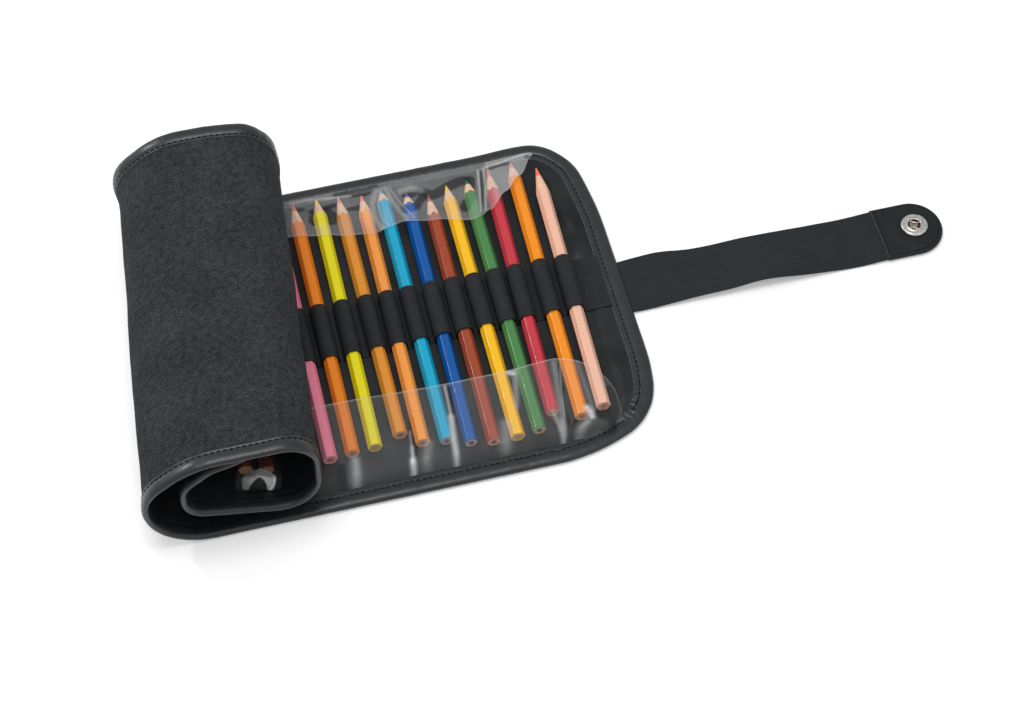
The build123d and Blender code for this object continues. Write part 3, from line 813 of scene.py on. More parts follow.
def open_seam(name, run, first):
    """Both faces of the seam along a run of the open half's edge."""
    spots = []
    length = STITCH_PITCH - first % STITCH_PITCH
    while length < run.total:
        spot = run.at(length) - run.inward(length) * STITCH_LINE
        ahead = run.at(length + 0.5) - run.at(length - 0.5)
        for turn in (1.0, -1.0):
            place = Vector((spot.x, spot.y, SHEET_MIDDLE + STITCH_RISE * turn))
            spots.append((place, Vector((ahead.x, ahead.y, 0.0)), Vector((0.0, 0.0, turn))))
        length += STITCH_PITCH
    piece = sew(f"seam_{name}", spots)
    bend_span(piece)
    return piece


seams = [roll_seam(-1), roll_seam(1)]
for number in range(6):
    seams += [open_seam(name, run, first) for name, run, first in open_runs(number)]
print("seams", len(seams))

# %% [markdown]
# ## Pencils
# The measured pencils have the right form: a hexagon with eased edges and a sharpened cone, and
# the cone cuts the flats in scallops. Only the finish is missing. The paint stops where the
# surface starts to slope to the point, which the object's own normal tells, and the lead shows
# within its own radius.

# %% Pencil finishes
AXIS_Z, MIDDLE_Y = 6.8, 2.5
LEAD_RADIUS, PAINT_RADIUS = 1.6, 3.2
PENCILS = [
    ("pencil_00_pink", -130.0, 0.020, (246, 138, 162), (220, 90, 130)),
    ("pencil_01_orange", -117.9, 0.018, (238, 132, 30), (225, 120, 60)),
    ("pencil_02_yellow", -105.1, 0.024, (238, 226, 25), (235, 205, 50)),
    ("pencil_03_ochre", -91.6, 0.012, (232, 150, 52), (205, 130, 90)),
    ("pencil_04_apricot", -79.9, 0.024, (250, 160, 72), (225, 110, 60)),
    ("pencil_05_teal", -67.8, 0.017, (20, 166, 204), (60, 160, 215)),
    ("pencil_06_blue", -55.0, 0.024, (8, 84, 160), (60, 95, 175)),
    ("pencil_07_brown", -43.1, 0.024, (158, 70, 42), (150, 75, 60)),
    ("pencil_08_gold", -31.0, 0.013, (250, 190, 28), (225, 200, 30)),
    ("pencil_09_green", -19.0, 0.013, (72, 132, 74), (30, 110, 70)),
    ("pencil_10_red", -7.7, 0.036, (198, 58, 70), (225, 110, 90)),
    ("pencil_11_orange", 6.6, 0.029, (246, 146, 32), (235, 120, 50)),
    ("pencil_12_peach", 19.6, 0.034, (240, 188, 162), (240, 120, 80)),
]


def shade(colour, share):
    """A colour from 0 to 255, darkened to a share of it."""
    return linear(*[value * share for value in colour])


def pencil_finish(name, x, lean, paint, lead):
    """Lacquer, bare wood and lead by where the surface is and which way it faces. The butts are
    darker: the wood partly as end grain and partly as painted shade, and the lead as painted shade.
    """
    finish = Finish(f"{name} lacquer", Specular_IOR_Level=0.36)
    length = math.hypot(lean, 1.0)
    way = Vector((lean / length, 1 / length, 0.0))
    start = Vector((x, MIDDLE_Y, AXIS_Z)) * MM
    place, facing = finish.place(), finish.place("Normal")
    px, py, pz = finish.split(place)
    nx, ny, _ = finish.split(facing)
    side = (px - start.x) * way.y - (py - start.y) * way.x
    high = pz - start.z
    radius = (side * side + high * high).math("SQRT")
    slope = nx * way.x + ny * way.y
    bare = slope.math("ABSOLUTE").step(0.06, 0.12)
    lead_here = 1 - radius.step((LEAD_RADIUS - 0.05) * MM, (LEAD_RADIUS + 0.05) * MM)
    butt = 1 - slope.step(-0.9, -0.7)
    skin = radius.step((PAINT_RADIUS - 0.05) * MM, (PAINT_RADIUS + 0.05) * MM) * butt
    grain = finish.noise(finish.stretch(place, (1.0, 0.12, 1.0)), 0.9, 3.0)
    fine = finish.noise(place, 1.6, 3.0)
    wood = grain.mix(linear(214, 160, 128), linear(242, 205, 174))
    # Butt wood is darker partly as end grain and partly as painted shade on the end faces.
    sawn_and_shaded = grain.mix(linear(164, 120, 98), linear(222, 178, 150))
    painted = fine.mix(shade(paint, 0.93), linear(*paint))
    cut = butt.mix(wood, sawn_and_shaded)
    # The lead on the butt is a darker copy, painted shade on the end face.
    cut = lead_here.mix(cut, butt.mix(linear(*lead), shade(lead, 0.75)))
    cut = skin.mix(cut, linear(*paint))
    colour = bare.mix(painted, cut)
    rough = bare * 0.42 + 0.13
    bump = finish.bump(fine * 0.3 + grain * bare, 0.12, 0.5)
    return finish.feed(Base_Color=colour, Roughness=rough, Normal=bump)


def coat_node(name, finish):
    """Gives a measured piece one finish all over."""
    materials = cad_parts[name].data.materials
    materials.clear()
    materials.append(finish)


for name, *makeup in PENCILS:
    coat_node(name, pencil_finish(name, *makeup))
print("pencils", len(PENCILS))

# %% [markdown]
# ## Elastic loops
# The band lies flat between the pencils, where it is sewn to the lining, and rises in a snug
# arch over each one. The section is a line across the case. It is drawn out along the pencils,
# leans with them, and gets the elastic's thickness.

# %% Elastic
LOOP_RADIUS, LOOP_STEPS = 4.5, 18
FOOT_Z = 3.35
ELASTIC_END = 40.4
LOOP_RISE = [(0.9, 0.0), (0.25, 0.35), (0.0, 1.1)]


def loop_line(xs, left, right):
    """The band's section as flat feet and arches, from left to right."""
    points = [Vector((left, FOOT_Z))]
    for x in xs:
        points += [Vector((x - LOOP_RADIUS - out, FOOT_Z + up)) for out, up in LOOP_RISE]
        for step in range(LOOP_STEPS + 1):
            turn = math.pi * (1 - step / LOOP_STEPS)
            arm = LOOP_RADIUS * math.cos(turn), LOOP_RADIUS * math.sin(turn)
            points.append(Vector((x + arm[0], AXIS_Z + arm[1])))
        points += [Vector((x + LOOP_RADIUS + out, FOOT_Z + up)) for out, up in reversed(LOOP_RISE)]
    if right - points[-1].x > 8:
        points += [Vector((points[-1].x + 2.5, FOOT_Z + 0.5)), Vector((right - 1, FOOT_Z + 0.5))]
    points.append(Vector((right, FOOT_Z)))
    return Run([point for point in points if left <= point.x <= right])


def lean_at(x, leans):
    """The lean of the nearest pencils, shared between them."""
    near = sorted(leans, key=lambda item: abs(item[0] - x))[:2]
    if len(near) == 1 or abs(near[0][0] - x) < LOOP_RADIUS + 1:
        return near[0][1]
    (first, second), (lean, next_lean) = zip(*near)
    first, second = abs(first - x), abs(second - x)
    return (lean * second + next_lean * first) / (first + second)


def elastic_piece(name, run, leans, first_x):
    """A stretch of the band from its section."""

    def place(share_u, share_v):
        length = share_u * run.total
        point = run.at(length)
        y = ELASTIC_Y[0] + share_v * (ELASTIC_Y[1] - ELASTIC_Y[0])
        edge = (share_v - 0.5) * 2
        y += (0.5 * wave(point.x, 0.0, 13.0, 3.0) + 0.25) * edge ** 3
        x = point.x + lean_at(point.x, leans) * (y - MIDDLE_Y)
        return Vector((x, y, point.y)), (first_x + length, y)

    count = max(8, round(run.total / 0.7))
    piece = laid_grid(name, (count, 26), place, [elastic_finish])
    return thicken(piece, 0.6, 0, 0.0)


def open_elastic(number):
    """The band over one span."""
    left, right = CUTS[number], CUTS[number + 1]
    stop = ELASTIC_END if number == 5 else right
    leans = [(x, lean) for _, x, lean, *_ in PENCILS]
    run = loop_line([x for x, _ in leans if left < x < right], left, stop)
    piece = elastic_piece(f"elastic_{number + 1}", run, leans, left)
    bend_span(piece)
    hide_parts(f"panel_{number + 1}_elastic")
    return piece


elastics = [open_elastic(number) for number in range(6)]
print("elastic spans", len(elastics))

# %% [markdown]
# The rolled half's loops are out of sight but for their ends, so they are the same section,
# once on the flat run and once on the inner turn.

# %% Elastic in the roll
HIDDEN_X = [-166.9, -154.6, -142.3]
INNER_X = [-180.5, -169.3]
INNER_FROM, INNER_TO = Vector((-141.0, 8.1)), Vector((-213.0, 25.7))


def inner_turn_matrix():
    """Carries a point drawn on the flat sheet at x = 0 to the inner turn's lower run, in mm."""
    middle = sum(INNER_X) / 2
    rise = (INNER_TO.y - INNER_FROM.y) / (INNER_TO.x - INNER_FROM.x)
    height = INNER_FROM.y + rise * (middle - INNER_FROM.x)
    tilt = math.atan2(INNER_TO.y - INNER_FROM.y, INNER_FROM.x - INNER_TO.x)
    return (
        Matrix.Translation((middle + ROLL_SKEW * (MIDDLE_Y + HALF_DEPTH), MIDDLE_Y, height))
        @ Matrix.Rotation(-math.atan(ROLL_SKEW), 4, "Z")
        @ Matrix.Rotation(tilt, 4, "Y")
        @ Matrix.Translation((0.0, -MIDDLE_Y, 0.12 - 1.0))
    )


def hidden_elastic():
    """The band's stretches inside the roll."""
    flat = loop_line(HIDDEN_X, -173.0, -136.0)
    first = elastic_piece("elastic_in_roll", flat, [(x, 0.0) for x in HIDDEN_X], flat.at(0.0).x)
    middle = sum(INNER_X) / 2
    offsets = [x - middle for x in INNER_X]
    inner = loop_line(offsets, offsets[0] - 6.3, offsets[1] + 4.8)
    second = elastic_piece("elastic_in_turn", inner, [(x, 0.0) for x in offsets], -300.0)
    place = inner_turn_matrix()
    for vert in second.data.vertices:
        vert.co = (place @ (vert.co / MM)) * MM
    for piece, run in ((first, flat), (second, inner)):
        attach(piece, "roll")
    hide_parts("roll_elastic")
    return first, second


hidden_bands = hidden_elastic()
print("elastic in the roll", [piece.name for piece in hidden_bands])

# %% [markdown]
# ## How the clear strips shine
# A strip could be one even veil, but real vinyl has been folded and pressed. Its light comes in
# strokes along the creases, in pale patches, and in dark windows where nothing bright is
# mirrored. All of these are painted into the strip: the strokes are painted highlights and the
# windows are painted dark reflections. Each stroke or window is a short run of places on the case
# with a width. A point's value is the strip's haze, partly the vinyl's own and partly painted
# reflection, darkened by the windows and lit by the strokes, with a painted highlight along the
# free edge.

# %% Strokes and windows
# Haze levels are partly the vinyl's own haze and partly painted reflection; the rear end is paler.
FRONT_HAZE_AND_REFLECTION, REAR_HAZE_AND_REFLECTION, END_HAZE_AND_REFLECTION = 0.033, 0.09, 0.19
# Painted highlights along each strip's free edge.
FRONT_RIM_HIGHLIGHT, REAR_RIM_HIGHLIGHT = 0.16, 0.08
# Strokes are painted highlights along the creases; windows are painted dark reflections.
FRONT_STROKES = [
    (0.20, 2.4, [(-119.4, -84.5), (-121.5, -98.0)]),
    (0.12, 0.7, [(-87.6, -74.0), (-89.4, -90.0)]),
    (0.24, 1.0, [(-88.8, -84.0), (-90.2, -93.0)]),
    (0.45, 1.5, [(-90.1, -92.0), (-90.7, -97.5)]),
    (0.10, 2.6, [(-80.0, -84.0), (-83.0, -94.0)]),
    (0.20, 0.7, [(-62.9, -50.0), (-64.1, -68.4)]),
    (0.34, 1.5, [(-64.3, -70.0), (-66.3, -86.1), (-67.5, -98.0)]),
    (0.10, 3.2, [(-37.0, -81.5), (-40.5, -95.2)]),
    (0.35, 1.3, [(-27.9, -49.6), (-25.6, -51.0)]),
    (0.12, 1.6, [(-24.0, -50.0), (-29.0, -72.0)]),
    (0.13, 1.3, [(-11.1, -80.0), (-9.3, -97.0)]),
    (0.09, 1.7, [(-2.6, -49.5), (-5.2, -69.5), (-7.0, -84.3)]),
    (0.10, 0.45, [(0.2, -51.8), (-3.7, -69.9), (-5.9, -85.6)]),
    (0.17, 1.5, [(-7.6, -87.2), (-8.5, -94.0), (-9.1, -96.6)]),
    (0.15, 1.9, [(-0.6, -95.6), (2.5, -92.8), (5.0, -91.0)]),
    (0.45, 1.5, [(6.9, -82.2), (8.2, -85.2), (8.2, -88.4)]),
    (0.05, 1.6, [(9.4, -52.6), (9.8, -70.0), (9.8, -83.6)]),
]
FRONT_WINDOWS = [
    (2.4, [(-129.6, -104.0), (-127.4, -86.5)]),
    (0.9, [(-0.6, -51.6), (-3.3, -70.0), (-4.4, -82.9), (-4.9, -89.9), (-7.9, -98.6)]),
    (0.8, [(-1.4, -89.3), (-4.4, -94.0), (-7.1, -98.9)]),
    (0.7, [(-12.1, -87.5), (-11.3, -92.8)]),
    (1.6, [(-84.6, -66.0), (-87.8, -88.0)]),
    (1.0, [(-61.0, -52.0), (-62.6, -74.0)]),
    (3.4, [(14.0, -87.8), (17.6, -90.0), (21.0, -84.0), (20.6, -74.0)]),
]
REAR_STROKES = [
    (0.12, 1.8, [(-69.3, 89.6), (-73.6, 80.0), (-74.3, 70.6), (-71.8, 62.2)]),
    (0.09, 0.6, [(-66.5, 90.0), (-70.4, 80.0), (-70.8, 71.0), (-68.0, 64.0)]),
    (0.12, 1.5, [(-64.1, 89.6), (-63.0, 82.0), (-60.3, 74.1), (-57.0, 66.0)]),
    (0.12, 0.5, [(-61.5, 89.0), (-59.5, 82.0), (-57.6, 76.0), (-53.0, 66.0)]),
    (0.24, 0.6, [(-10.6, 89.6), (-12.6, 78.0), (-15.7, 60.5)]),
    (0.18, 0.9, [(-7.3, 90.0), (-9.4, 76.0), (-13.2, 61.1)]),
    (0.22, 0.6, [(-5.7, 90.6), (8.8, 93.0), (22.4, 95.6)]),
    (0.16, 0.7, [(-118.0, 92.4), (-108.8, 92.8), (-96.0, 91.0), (-84.0, 89.5)]),
    (0.10, 2.2, [(-56.0, 86.0), (-50.0, 87.0), (-45.0, 84.0)]),
]
REAR_WINDOWS = [
    (5.0, [(-106.0, 78.5), (-100.0, 80.0), (-98.0, 77.0)]),
    (1.5, [(-108.0, 84.0), (-94.0, 85.0)]),
    (1.3, [(-116.0, 87.0), (-112.0, 87.0)]),
    (1.8, [(-86.0, 80.6), (-81.0, 80.0)]),
    (3.4, [(-90.0, 93.0), (-76.0, 91.0), (-71.0, 92.5)]),
    (1.7, [(-55.0, 82.2), (-50.0, 81.8)]),
    (3.3, [(-45.0, 83.0), (-38.9, 78.3), (-28.9, 82.6), (-20.0, 84.6)]),
    (2.6, [(-44.0, 79.0), (-50.0, 73.0), (-57.0, 72.0)]),
    (3.0, [(-24.0, 66.0), (-19.0, 72.0), (-17.0, 84.0)]),
    (1.3, [(-9.0, 88.0), (-11.0, 76.0), (-14.2, 62.0)]),
    (1.2, [(-3.0, 89.6), (7.5, 90.4)]),
    (1.2, [(18.6, 92.0), (19.6, 91.4)]),
]


def gap_to(x, y, spots):
    """The distance from a place to a run of places."""
    best = 1e9
    for (x0, y0), (x1, y1) in zip(spots, spots[1:]):
        dx, dy = x1 - x0, y1 - y0
        share = min(1.0, max(0.0, ((x - x0) * dx + (y - y0) * dy) / (dx * dx + dy * dy)))
        best = min(best, math.hypot(x - x0 - share * dx, y - y0 - share * dy))
    return best


def haze_and_painted_light_at(x, y, side, rim):
    """A strip's haze with its painted light at a place on the case, rim being the distance to its
    free edge.
    """
    strokes, windows = (FRONT_STROKES, FRONT_WINDOWS) if side < 0 else (REAR_STROKES, REAR_WINDOWS)
    if side < 0:
        haze_and_light = FRONT_HAZE_AND_REFLECTION * (0.6 + 0.4 * ramp(x, -131.0, -126.0))
    else:
        haze_and_light = REAR_HAZE_AND_REFLECTION * (0.9 + 0.25 * wave(x, y, 9.0, 31.0))
        # The rear strip's curled right end gets a paler painted reflection.
        haze_and_light += (END_HAZE_AND_REFLECTION - REAR_HAZE_AND_REFLECTION) * ramp(x, -6.5, -4.5)
    warp = 0.9 * wave(x, y, 6.0, 17.0)
    # Windows darken it as painted dark reflections, and strokes add painted highlights.
    for width, spots in windows:
        haze_and_light *= 0.22 + 0.78 * ramp(gap_to(x, y, spots) + warp, width - 0.5, width + 0.5)
    for bright, width, spots in strokes:
        gap = gap_to(x, y, spots) / width
        if gap < 2.5:
            haze_and_light += bright * math.exp(-gap * gap)
    # A painted highlight runs along the strip's free edge.
    return haze_and_light + (FRONT_RIM_HIGHLIGHT if side < 0 else REAR_RIM_HIGHLIGHT) * math.exp(-((rim / 0.6) ** 2))


print("strokes", len(FRONT_STROKES + REAR_STROKES))
print("windows", len(FRONT_WINDOWS + REAR_WINDOWS))

# %% [markdown]
# ## Clear strips
# Each strip is sewn under the binding, rises over the pencils' ends and lies on them. Folding
# has left a few sharp creases across it, and it waves between them. The front strip ends in a
# round corner. The rear one ends in a slanting edge that curls up.

# %% Clear strips
SEAM_Y = HALF_DEPTH - SEAM_INSET
SEAM_Z, FILM_Z, FILM_THICK = 3.4, 10.95, 0.25
POCKET_MOUTH = 46.0
FRONT_END, REAR_END = 25.0, 22.0


def crease_lift(x, y, strokes):
    """How far the creases of a strip raise it at a place."""
    lift = 0.0
    for bright, width, spots in strokes:
        if bright < 0.3 or width < 1.0:
            gap = gap_to(x, y, spots) / (width * 1.3)
            if gap < 2.5:
                lift += 0.45 * math.exp(-gap * gap)
    return min(lift, 0.8)


def film_height(x, inward, seed, rise=3.6):
    """The strip's height at a distance inwards of its seam, without its creases."""
    climb = min(1.0, inward / rise)
    base = SEAM_Z + (FILM_Z - SEAM_Z) * math.sin(climb * math.pi / 2) ** 0.8
    ripple = 0.3 * wave(x, inward, 17, seed) + 0.12 * wave(x, inward, 6, seed + 3)
    return base + min(1.0, inward / 8) * (0.25 + ripple)


def front_limit(x):
    """How far from the seam the front strip reaches at x."""
    reach = SEAM_Y - POCKET_MOUTH - 2.4 * ramp(x, -125.0, -60.0) + 1.6 * ramp(x, -30.0, -5.0)
    if x > -3.0:
        share = min(1.0, (x + 3.0) / 28.0)
        reach = reach - 30.0 * (1 - math.sqrt(max(0.0, 1 - share * share))) - 3.0 * share
    return reach


REAR_REACH = [(-136.0, 26.0), (-122.5, 26.7), (-105.0, 30.0), (-88.0, 34.2), (-75.6, 35.8)]
REAR_REACH += [(-66.0, 33.1), (-60.0, 31.7), (-42.6, 34.7), (-21.0, 39.7), (-16.0, 38.4)]
REAR_REACH += [(-10.8, 35.5), (0.6, 26.9), (10.9, 18.0), (22.2, 3.2)]


def rear_limit(x):
    """How far from the seam the rear strip reaches at x."""
    return between(REAR_REACH, x, REAR_REACH[-1][1])


def seam_y(x, side):
    """Where the strip's seam runs, by the binding's inner edge or at its stitches in the corner."""
    if x <= CUTS[5]:
        return SEAM_Y
    edges = INSET_EDGES[SEAM_INSET], INSET_EDGES[STITCH_LINE]
    inner, outer = (abs(edge_cross(edge, 0, x, side)) for edge in edges)
    return inner + (outer - inner) * (ramp(x, -5.0, 12.0) if side < 0 else 0.0)


def open_film(number, side):
    """One span of the front or rear strip."""
    left, right = CUTS[number], CUTS[number + 1]
    if number == 5:
        right = FRONT_END if side < 0 else REAR_END
    limit, strokes = (front_limit, FRONT_STROKES) if side < 0 else (rear_limit, REAR_STROKES)

    def place(share_u, share_v):
        x = left + share_u * (right - left)
        base = seam_y(x, side)
        reach = max(1.5, limit(x) - (SEAM_Y - base))
        inward = share_v * reach
        y = side * (base - inward)
        rise = 2.2 if side > 0 else 3.6 - 1.6 * ramp(x, -8.0, 4.0)
        height = film_height(x, inward, 10.0 * side, rise)
        height += crease_lift(x, y, strokes) * min(1.0, inward / 6)
        if side > 0:
            height += 3.0 * ramp(x, -9.0, 4.0) * (1 - ramp(x, 12.0, 22.0)) * share_v ** 2
        return Vector((x, y, height)), (x, reach - inward), haze_and_painted_light_at(x, y, side, reach - inward)

    count = 84 if number == 5 else 50
    name = f"film_{'front' if side < 0 else 'rear'}_{number + 1}"
    piece = laid_grid(name, (count, 76), place, [vinyl_finish])
    thicken(piece, FILM_THICK, 0, 0.0)
    bend_span(piece)
    return piece


films = []
for number in range(6):
    pair = [open_film(number, side) for side in (-1, 1)]
    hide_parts(f"panel_{number + 1}_clear_strips")
    films += pair
print("film spans", len(films))

# %% [markdown]
# ## Strip ends in the roll
# The front of the roll lets a little of the inner strip show. It hangs in two round lobes below
# the inner pencils' butts. The lobes carry a painted highlight, brighter to the right, and their
# rims a brighter painted highlight. The strip over them is nearly clear.

# %% Films in the roll
LOBES = [(-6.4, 1.8), (-3.4, 4.0), (0.0, 5.4), (3.6, 4.2), (6.4, 2.0)]
LOBE_RIM_HIGHLIGHT = [(1.2, 7.6), (5.2, 6.2), (8.0, 3.4), (8.2, 1.0), (6.6, -0.3)]


def roll_film(name, x_range, side, reach):
    """A strip over the flat run's hidden pencils."""

    def place(share_u, share_v):
        x = x_range[0] + share_u * (x_range[1] - x_range[0])
        inward = share_v * reach
        point = Vector((x, side * (SEAM_Y - inward), film_height(x, inward, 4.0) - 0.3))
        return point, (x, inward), 0.5 * FRONT_HAZE_AND_REFLECTION

    piece = laid_grid(name, (40, 30), place, [vinyl_finish])
    thicken(piece, FILM_THICK, 0, 0.0)
    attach(piece, "roll")
    return piece


def turn_film():
    """The strip over the inner turn's pencils."""
    place_matrix = inner_turn_matrix()

    def place(share_u, share_v):
        x = -12.0 + 24.0 * share_u
        inward = 42.0 * share_v ** 1.6
        swell = 1.6 * math.exp(-((gap_to(x, inward, LOBES) / 2.6) ** 2))
        y, height = -(SEAM_Y - 1.5 - inward + swell * 0.6), film_height(x, inward, 4.0)
        point = Vector((x, y, height + swell * 0.4))
        # Painted highlight on the two lobes, brighter to the right, and a brighter one along their
        # rims.
        lobe_highlight = ramp(-gap_to(x, inward, LOBES), -2.6, -1.9)
        haze_and_painted_light = 0.015 + lobe_highlight * (0.14 + 0.26 * ramp(x, -7.0, 2.0))
        haze_and_painted_light += 0.5 * math.exp(-((gap_to(x, inward, LOBE_RIM_HIGHLIGHT) / 0.6) ** 2))
        return place_matrix @ point, (x, inward), haze_and_painted_light

    piece = laid_grid("film_in_turn", (60, 80), place, [vinyl_finish])
    thicken(piece, FILM_THICK, 0, 0.0)
    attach(piece, "roll")
    return piece


roll_films = [
    roll_film("film_roll_front", (-188.0, -136.0), -1, SEAM_Y - POCKET_MOUTH),
    roll_film("film_roll_rear", (-171.0, -136.0), 1, 24.0),
    turn_film(),
]
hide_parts("roll_clear_strips")
print("films in the roll", len(roll_films))

# %% [markdown]
# ## Strap
# The strap is one length of ribbed webbing. It leaves the binding's edge, waves where it was
# folded, and lies down to its tab. Its two edges don't wave together: the near one stands off
# the table where the far one lies on it, so each has its own heights. The section is a thin
# rounded bar between the two. The strap is cut at mid length.

# %% Strap
STRAP_Y, TAB_Y, STRAP_WIDTH = -3.5, -4.4, 34.8
FAR_HEIGHTS = [(30, 1.8), (44, 1.9), (50, 2.1), (56, 2.9), (63, 3.5), (70, 4.0), (77, 3.5)]
FAR_HEIGHTS += [(84, 2.0), (91, 1.0), (105, 0.9), (119, 1.7), (133, 1.8), (147, 1.5), (161, 0.9)]
FAR_HEIGHTS += [(175, 0.75), (184, 1.0), (192, 1.6), (200, 2.1), (212, 2.6), (230, 2.7)]
NEAR_HEIGHTS = [(30, 1.8), (44, 1.9), (50, 1.7), (56, 1.4), (63, 1.5), (70, 2.1), (77, 2.8)]
NEAR_HEIGHTS += [(84, 3.6), (91, 4.1), (105, 4.9), (112, 5.7), (119, 6.8), (126, 7.2), (133, 6.7)]
NEAR_HEIGHTS += [(140, 5.5), (147, 4.2), (154, 3.2), (161, 2.3), (168, 1.5), (178, 0.9), (186, 1.1)]
NEAR_HEIGHTS += [(194, 1.7), (202, 2.2), (212, 2.6), (230, 2.7)]
far_edge, near_edge = Run(smooth_line(FAR_HEIGHTS)), Run(smooth_line(NEAR_HEIGHTS))


def strap_section(share):
    """A thin bar with round edges: width and height for a share of its outline."""
    half, thick, corner = STRAP_WIDTH / 2, 0.6, 0.45
    turn = (share * 4) % 4
    side, along = int(turn), turn - int(turn)
    sign = 1 if side < 2 else -1
    if side in (0, 2):
        return sign * (corner - half + along * 2 * (half - corner)), sign * thick
    round_in = corner * (1 - math.sin(along * math.pi))
    return sign * (half - round_in), sign * thick * math.cos(along * math.pi)


def strap_half(name, start, stop, joint, node):
    """A length of strap between two places along X."""

    def place(share_u, share_v):
        x = start + share_u * (stop - start)
        across, height = strap_section(share_v)
        far, near = (edge_cross(edge.points, 0, x, 1) for edge in (far_edge, near_edge))
        ripple = 0.15 * wave(x, across, 14, 6.0)
        middle = STRAP_Y + (TAB_Y - STRAP_Y) * ramp(x, 50.0, 180.0)
        lift = near + (far - near) * ramp(across, -STRAP_WIDTH / 2 - 6, STRAP_WIDTH / 2 + 6)
        y = middle + across * (1 - 0.012 * ramp(x, 60.0, 120.0)) + 0.25 * wave(x, 0.0, 22, 9.0)
        return Vector((x, y, max(0.05, lift + height + ripple))), (x, across)

    count = round(stop - start)
    piece = laid_grid(name, (count, 64), place, [strap_finish], closed=True)
    *bodies, fold, reach = joint
    low, high = (((fold + side * reach) * MM, 0, 0.002) for side in (-1, 1))
    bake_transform(piece)
    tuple(low)
    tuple(high)
    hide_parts(node)
    return piece


straps = [
    strap_half("strap_root", 46.0, 98.0, ("panel_6", "strap_inner", 52.4, 2.5), "strap_inner"),
    strap_half(
        "strap_free", 98.0, 211.5, ("strap_inner", "strap_outer", 145.0, 16.0), "strap_outer"
    ),
]
print("strap", [len(piece.data.polygons) for piece in straps])

# %% [markdown]
# ## Tab
# The tab is the binding's artificial leather, folded round the strap's end and sewn just inside
# its edge. It is a grid laid round a flat pillow: every point's height comes from its distance
# to the outline, which rounds the rim and lets in the seam's trough. The snap's cap lifts its
# middle, and the soft rim droops towards the table.

# %% Tab
TAB_LEFT, TAB_RIGHT, TAB_HALF, TAB_ROUND = 196.5, 233.0, 17.8, 17.0
TAB_Z, TAB_RISE, TAB_DROOP = 2.7, 1.35, 0.8
TAB_SEAM, TAB_STITCH = 2.3, 2.9
SNAP_X = 217.0


def tab_half_width(x):
    """Half the tab's width at x."""
    share = max(0.0, (x - TAB_RIGHT) / TAB_ROUND + 1)
    return TAB_HALF * math.sqrt(max(0.0, 1 - share * share))


def tab_height(x, across, turn):
    """The height of the tab's upper (1) or lower (-1) face at a place."""
    rim = min(x - TAB_LEFT, TAB_HALF - abs(across))
    if x > TAB_RIGHT - TAB_ROUND:
        rim = TAB_ROUND * (1 - math.hypot((x - TAB_RIGHT) / TAB_ROUND + 1, across / TAB_HALF))
    edge = 1 - min(1.0, max(0.0, rim) / 1.3)
    from_snap = math.hypot(x - SNAP_X, across)
    half = TAB_RISE * math.sqrt(1 - edge * edge)
    half -= 0.3 * math.exp(-(((rim - TAB_SEAM) / 0.5) ** 2))
    half += 0.12 * wave(x, across, 5.0, 40.0) * ramp(from_snap, 8.0, 11.0) * (1 - edge)
    return TAB_Z - TAB_DROOP * ramp(from_snap, 8.0, 18.0) + turn * half


def leather_tab():
    """The tab's body with its stitched trough."""

    def place(share_u, share_v):
        x = TAB_LEFT + (TAB_RIGHT - TAB_LEFT) * (1 - math.cos(share_u * math.pi)) / 2
        turn = 1 if share_v <= 0.5 else -1
        across = -tab_half_width(x) * math.cos(share_v * 2 * math.pi)
        return Vector((x, TAB_Y + across, tab_height(x, across, turn))), (x, across)

    piece = laid_grid("leather_tab", (80, 96), place, [tab_finish], closed=True)
    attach(piece, "strap_outer")
    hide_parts("strap_tab")
    return piece


def tab_seam():
    """Stitches in the tab's trough, on both faces."""
    left, middle = TAB_LEFT + TAB_SEAM, TAB_RIGHT - TAB_ROUND
    half, reach = TAB_HALF - TAB_SEAM, TAB_ROUND - TAB_SEAM
    points = [Vector((left, half)), Vector((left, -half))]
    for step in range(33):
        turn = -math.pi / 2 + math.pi * step / 32
        points.append(Vector((middle + reach * math.cos(turn), half * math.sin(turn))))
    run = Run([*points, points[0]])
    spots = []
    for count in range(int(run.total / TAB_STITCH)):
        length = count * TAB_STITCH
        spot, ahead = run.at(length), run.at(length + 0.5) - run.at(length - 0.5)
        for turn in (1, -1):
            place = Vector((spot.x, TAB_Y + spot.y, tab_height(spot.x, spot.y, turn)))
            spots.append((place, Vector((ahead.x, ahead.y, 0.0)), Vector((0.0, 0.0, turn))))
    piece = sew("seam_tab", spots)
    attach(piece, "strap_outer")
    return piece


tab = [leather_tab(), tab_seam()]
print("tab", [len(piece.data.polygons) for piece in tab], "faces")

# %% [markdown]
# ## Press snap
# The socket is a stamped nickel ring, speckled where its plating has dulled, with a rolled rim
# and a copper well, painted near black as the shade in the socket's hole. Two bright spring wires
# cross the well and grip the stud. The ring is turned from its section, as the real one is
# pressed round a die.

# %% Press snap


def aged_metal(name, light, dark, roughness, bloom_mm=2.2):
    """Metal with a cloudy bloom."""
    finish = Finish(name, Metallic=1.0)
    place = finish.place()
    cloud = finish.noise(place, bloom_mm, 4.0)
    fine = finish.noise(place, 0.35, 2.0)
    colour = cloud.step(0.35, 0.7).mix(light, dark)
    rough = cloud * 0.2 + roughness
    return finish.feed(Base_Color=colour, Roughness=rough, Normal=finish.bump(fine, 0.03, 0.4))


nickel_finish = aged_metal("aged nickel", linear(205, 200, 192), linear(140, 134, 126), 0.18)
ring_finish = aged_metal("speckled nickel", linear(232, 232, 228), linear(160, 161, 157), 0.24, 0.7)
